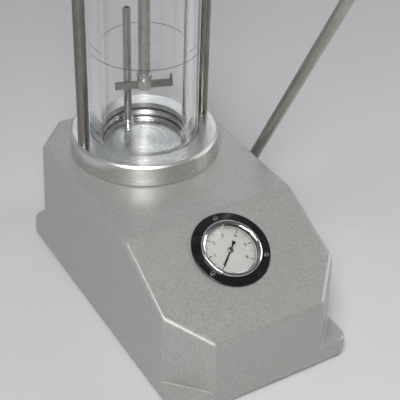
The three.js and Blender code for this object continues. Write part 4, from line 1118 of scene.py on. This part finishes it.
# ---------------------------------------------------------------- floor, lights, camera
FLOOR_HALF = 12.0
floor_mesh = bpy.data.meshes.new("floor")
floor_mesh.from_pydata(
    [(x * FLOOR_HALF, y * FLOOR_HALF, 0) for x, y in ((-1, -1), (1, -1), (1, 1), (-1, 1))],
    [], [(0, 1, 2, 3)],
)
floor = bpy.data.objects.new("floor", floor_mesh)
bpy.context.scene.collection.objects.link(floor)
g = Graph("floor_paper")
fibre = g.noise(g.coords(), 350, 4.0, 0.6)
floor_mesh.materials.append(g.done(
    Base_Color=g.blend(g.remap(fibre, 0, 1), rgb(0.68, 0.68, 0.69), rgb(0.72, 0.72, 0.73)),
    Roughness=g.remap(fibre, 0.55, 0.65),
    Normal=g.bump(fibre, 0.00005, 0.3),
))

lit_middle = at(0, -70, 150)


def softbox(name, direction, distance, size, watts, tint):
    """Soft lamp in a direction from the middle of the object, facing it."""
    light = bpy.data.lights.new(name, "AREA")
    light.shape = "RECTANGLE"
    light.size, light.size_y = size
    light.energy = watts
    light.color = tint
    lamp = bpy.data.objects.new(name, light)
    bpy.context.scene.collection.objects.link(lamp)
    away = Vector(direction).normalized()
    lamp.location = lit_middle + away * distance
    lamp.rotation_mode = "QUATERNION"
    lamp.rotation_quaternion = away.to_track_quat("Z", "Y")


softbox("key", (-0.34, -0.36, 0.87), 1.5, (0.5, 0.5), 10, (1.0, 0.99, 0.97))
softbox("flash", (-0.44, -0.70, 0.60), 1.4, (0.4, 0.35), 8, (1.0, 0.98, 0.95))
softbox("right_panel", (1.0, -0.25, 0.35), 1.6, (0.5, 1.2), 7, (1.0, 0.98, 0.96))
softbox("back_panel", (0.62, 0.78, 0.52), 1.8, (1.2, 0.5), 1.6, (0.98, 0.99, 1.0))
softbox("left_panel", (-1.0, 0.3, 0.2), 1.6, (0.9, 0.9), 1.5, (0.82, 0.9, 1.0))

# backdrop: bright low behind and to the right, dark above and on the camera's side
world = bpy.data.worlds.new("studio")
world.use_nodes = True
sky = world.node_tree
facing = sky.nodes.new("ShaderNodeVectorMath")
facing.operation = "DOT_PRODUCT"
sky.links.new(sky.nodes.new("ShaderNodeTexCoord").outputs["Generated"], facing.inputs[0])
BRIGHT_SIDE = (0.25, 0.75, -0.6)
facing.inputs[1].default_value = BRIGHT_SIDE
fade = sky.nodes.new("ShaderNodeMapRange")
for index, value in enumerate((-0.6, 0.75, 0.10, 0.52), 1):
    fade.inputs[index].default_value = value
sky.links.new(facing.outputs["Value"], fade.inputs[0])
backdrop = sky.nodes["Background"]
backdrop.inputs["Color"].default_value = rgb(0.9, 0.93, 1.0)
sky.links.new(fade.outputs[0], backdrop.inputs["Strength"])
bpy.context.scene.world = world
bpy.context.scene.view_settings.view_transform = "Standard"

camera = bpy.data.cameras.new("camera")
camera.lens, camera.sensor_width, camera.sensor_fit = 94.62, 36.0, "HORIZONTAL"
camera.clip_start, camera.clip_end = 0.05, 20.0
camera.dof.use_dof = False
viewer = bpy.data.objects.new("camera", camera)
bpy.context.scene.collection.objects.link(viewer)
# place, aim and roll of the camera that took the photograph, in the frame's metres
eye = Vector((-0.40619, -0.66848, 0.65927))
toward = (Vector((0.049775, 0.071176, 0.035084)) - eye).normalized()
across = toward.cross(Vector((0, 0, 1))).normalized()
up = across.cross(toward)
roll = math.radians(1.928)
cam_x = math.cos(roll) * across + math.sin(roll) * up
cam_y = -math.sin(roll) * across + math.cos(roll) * up
basis = Matrix((cam_x, cam_y, -toward)).transposed().to_4x4()
viewer.matrix_world = Matrix.Translation(eye) @ basis
bpy.context.scene.camera = viewer
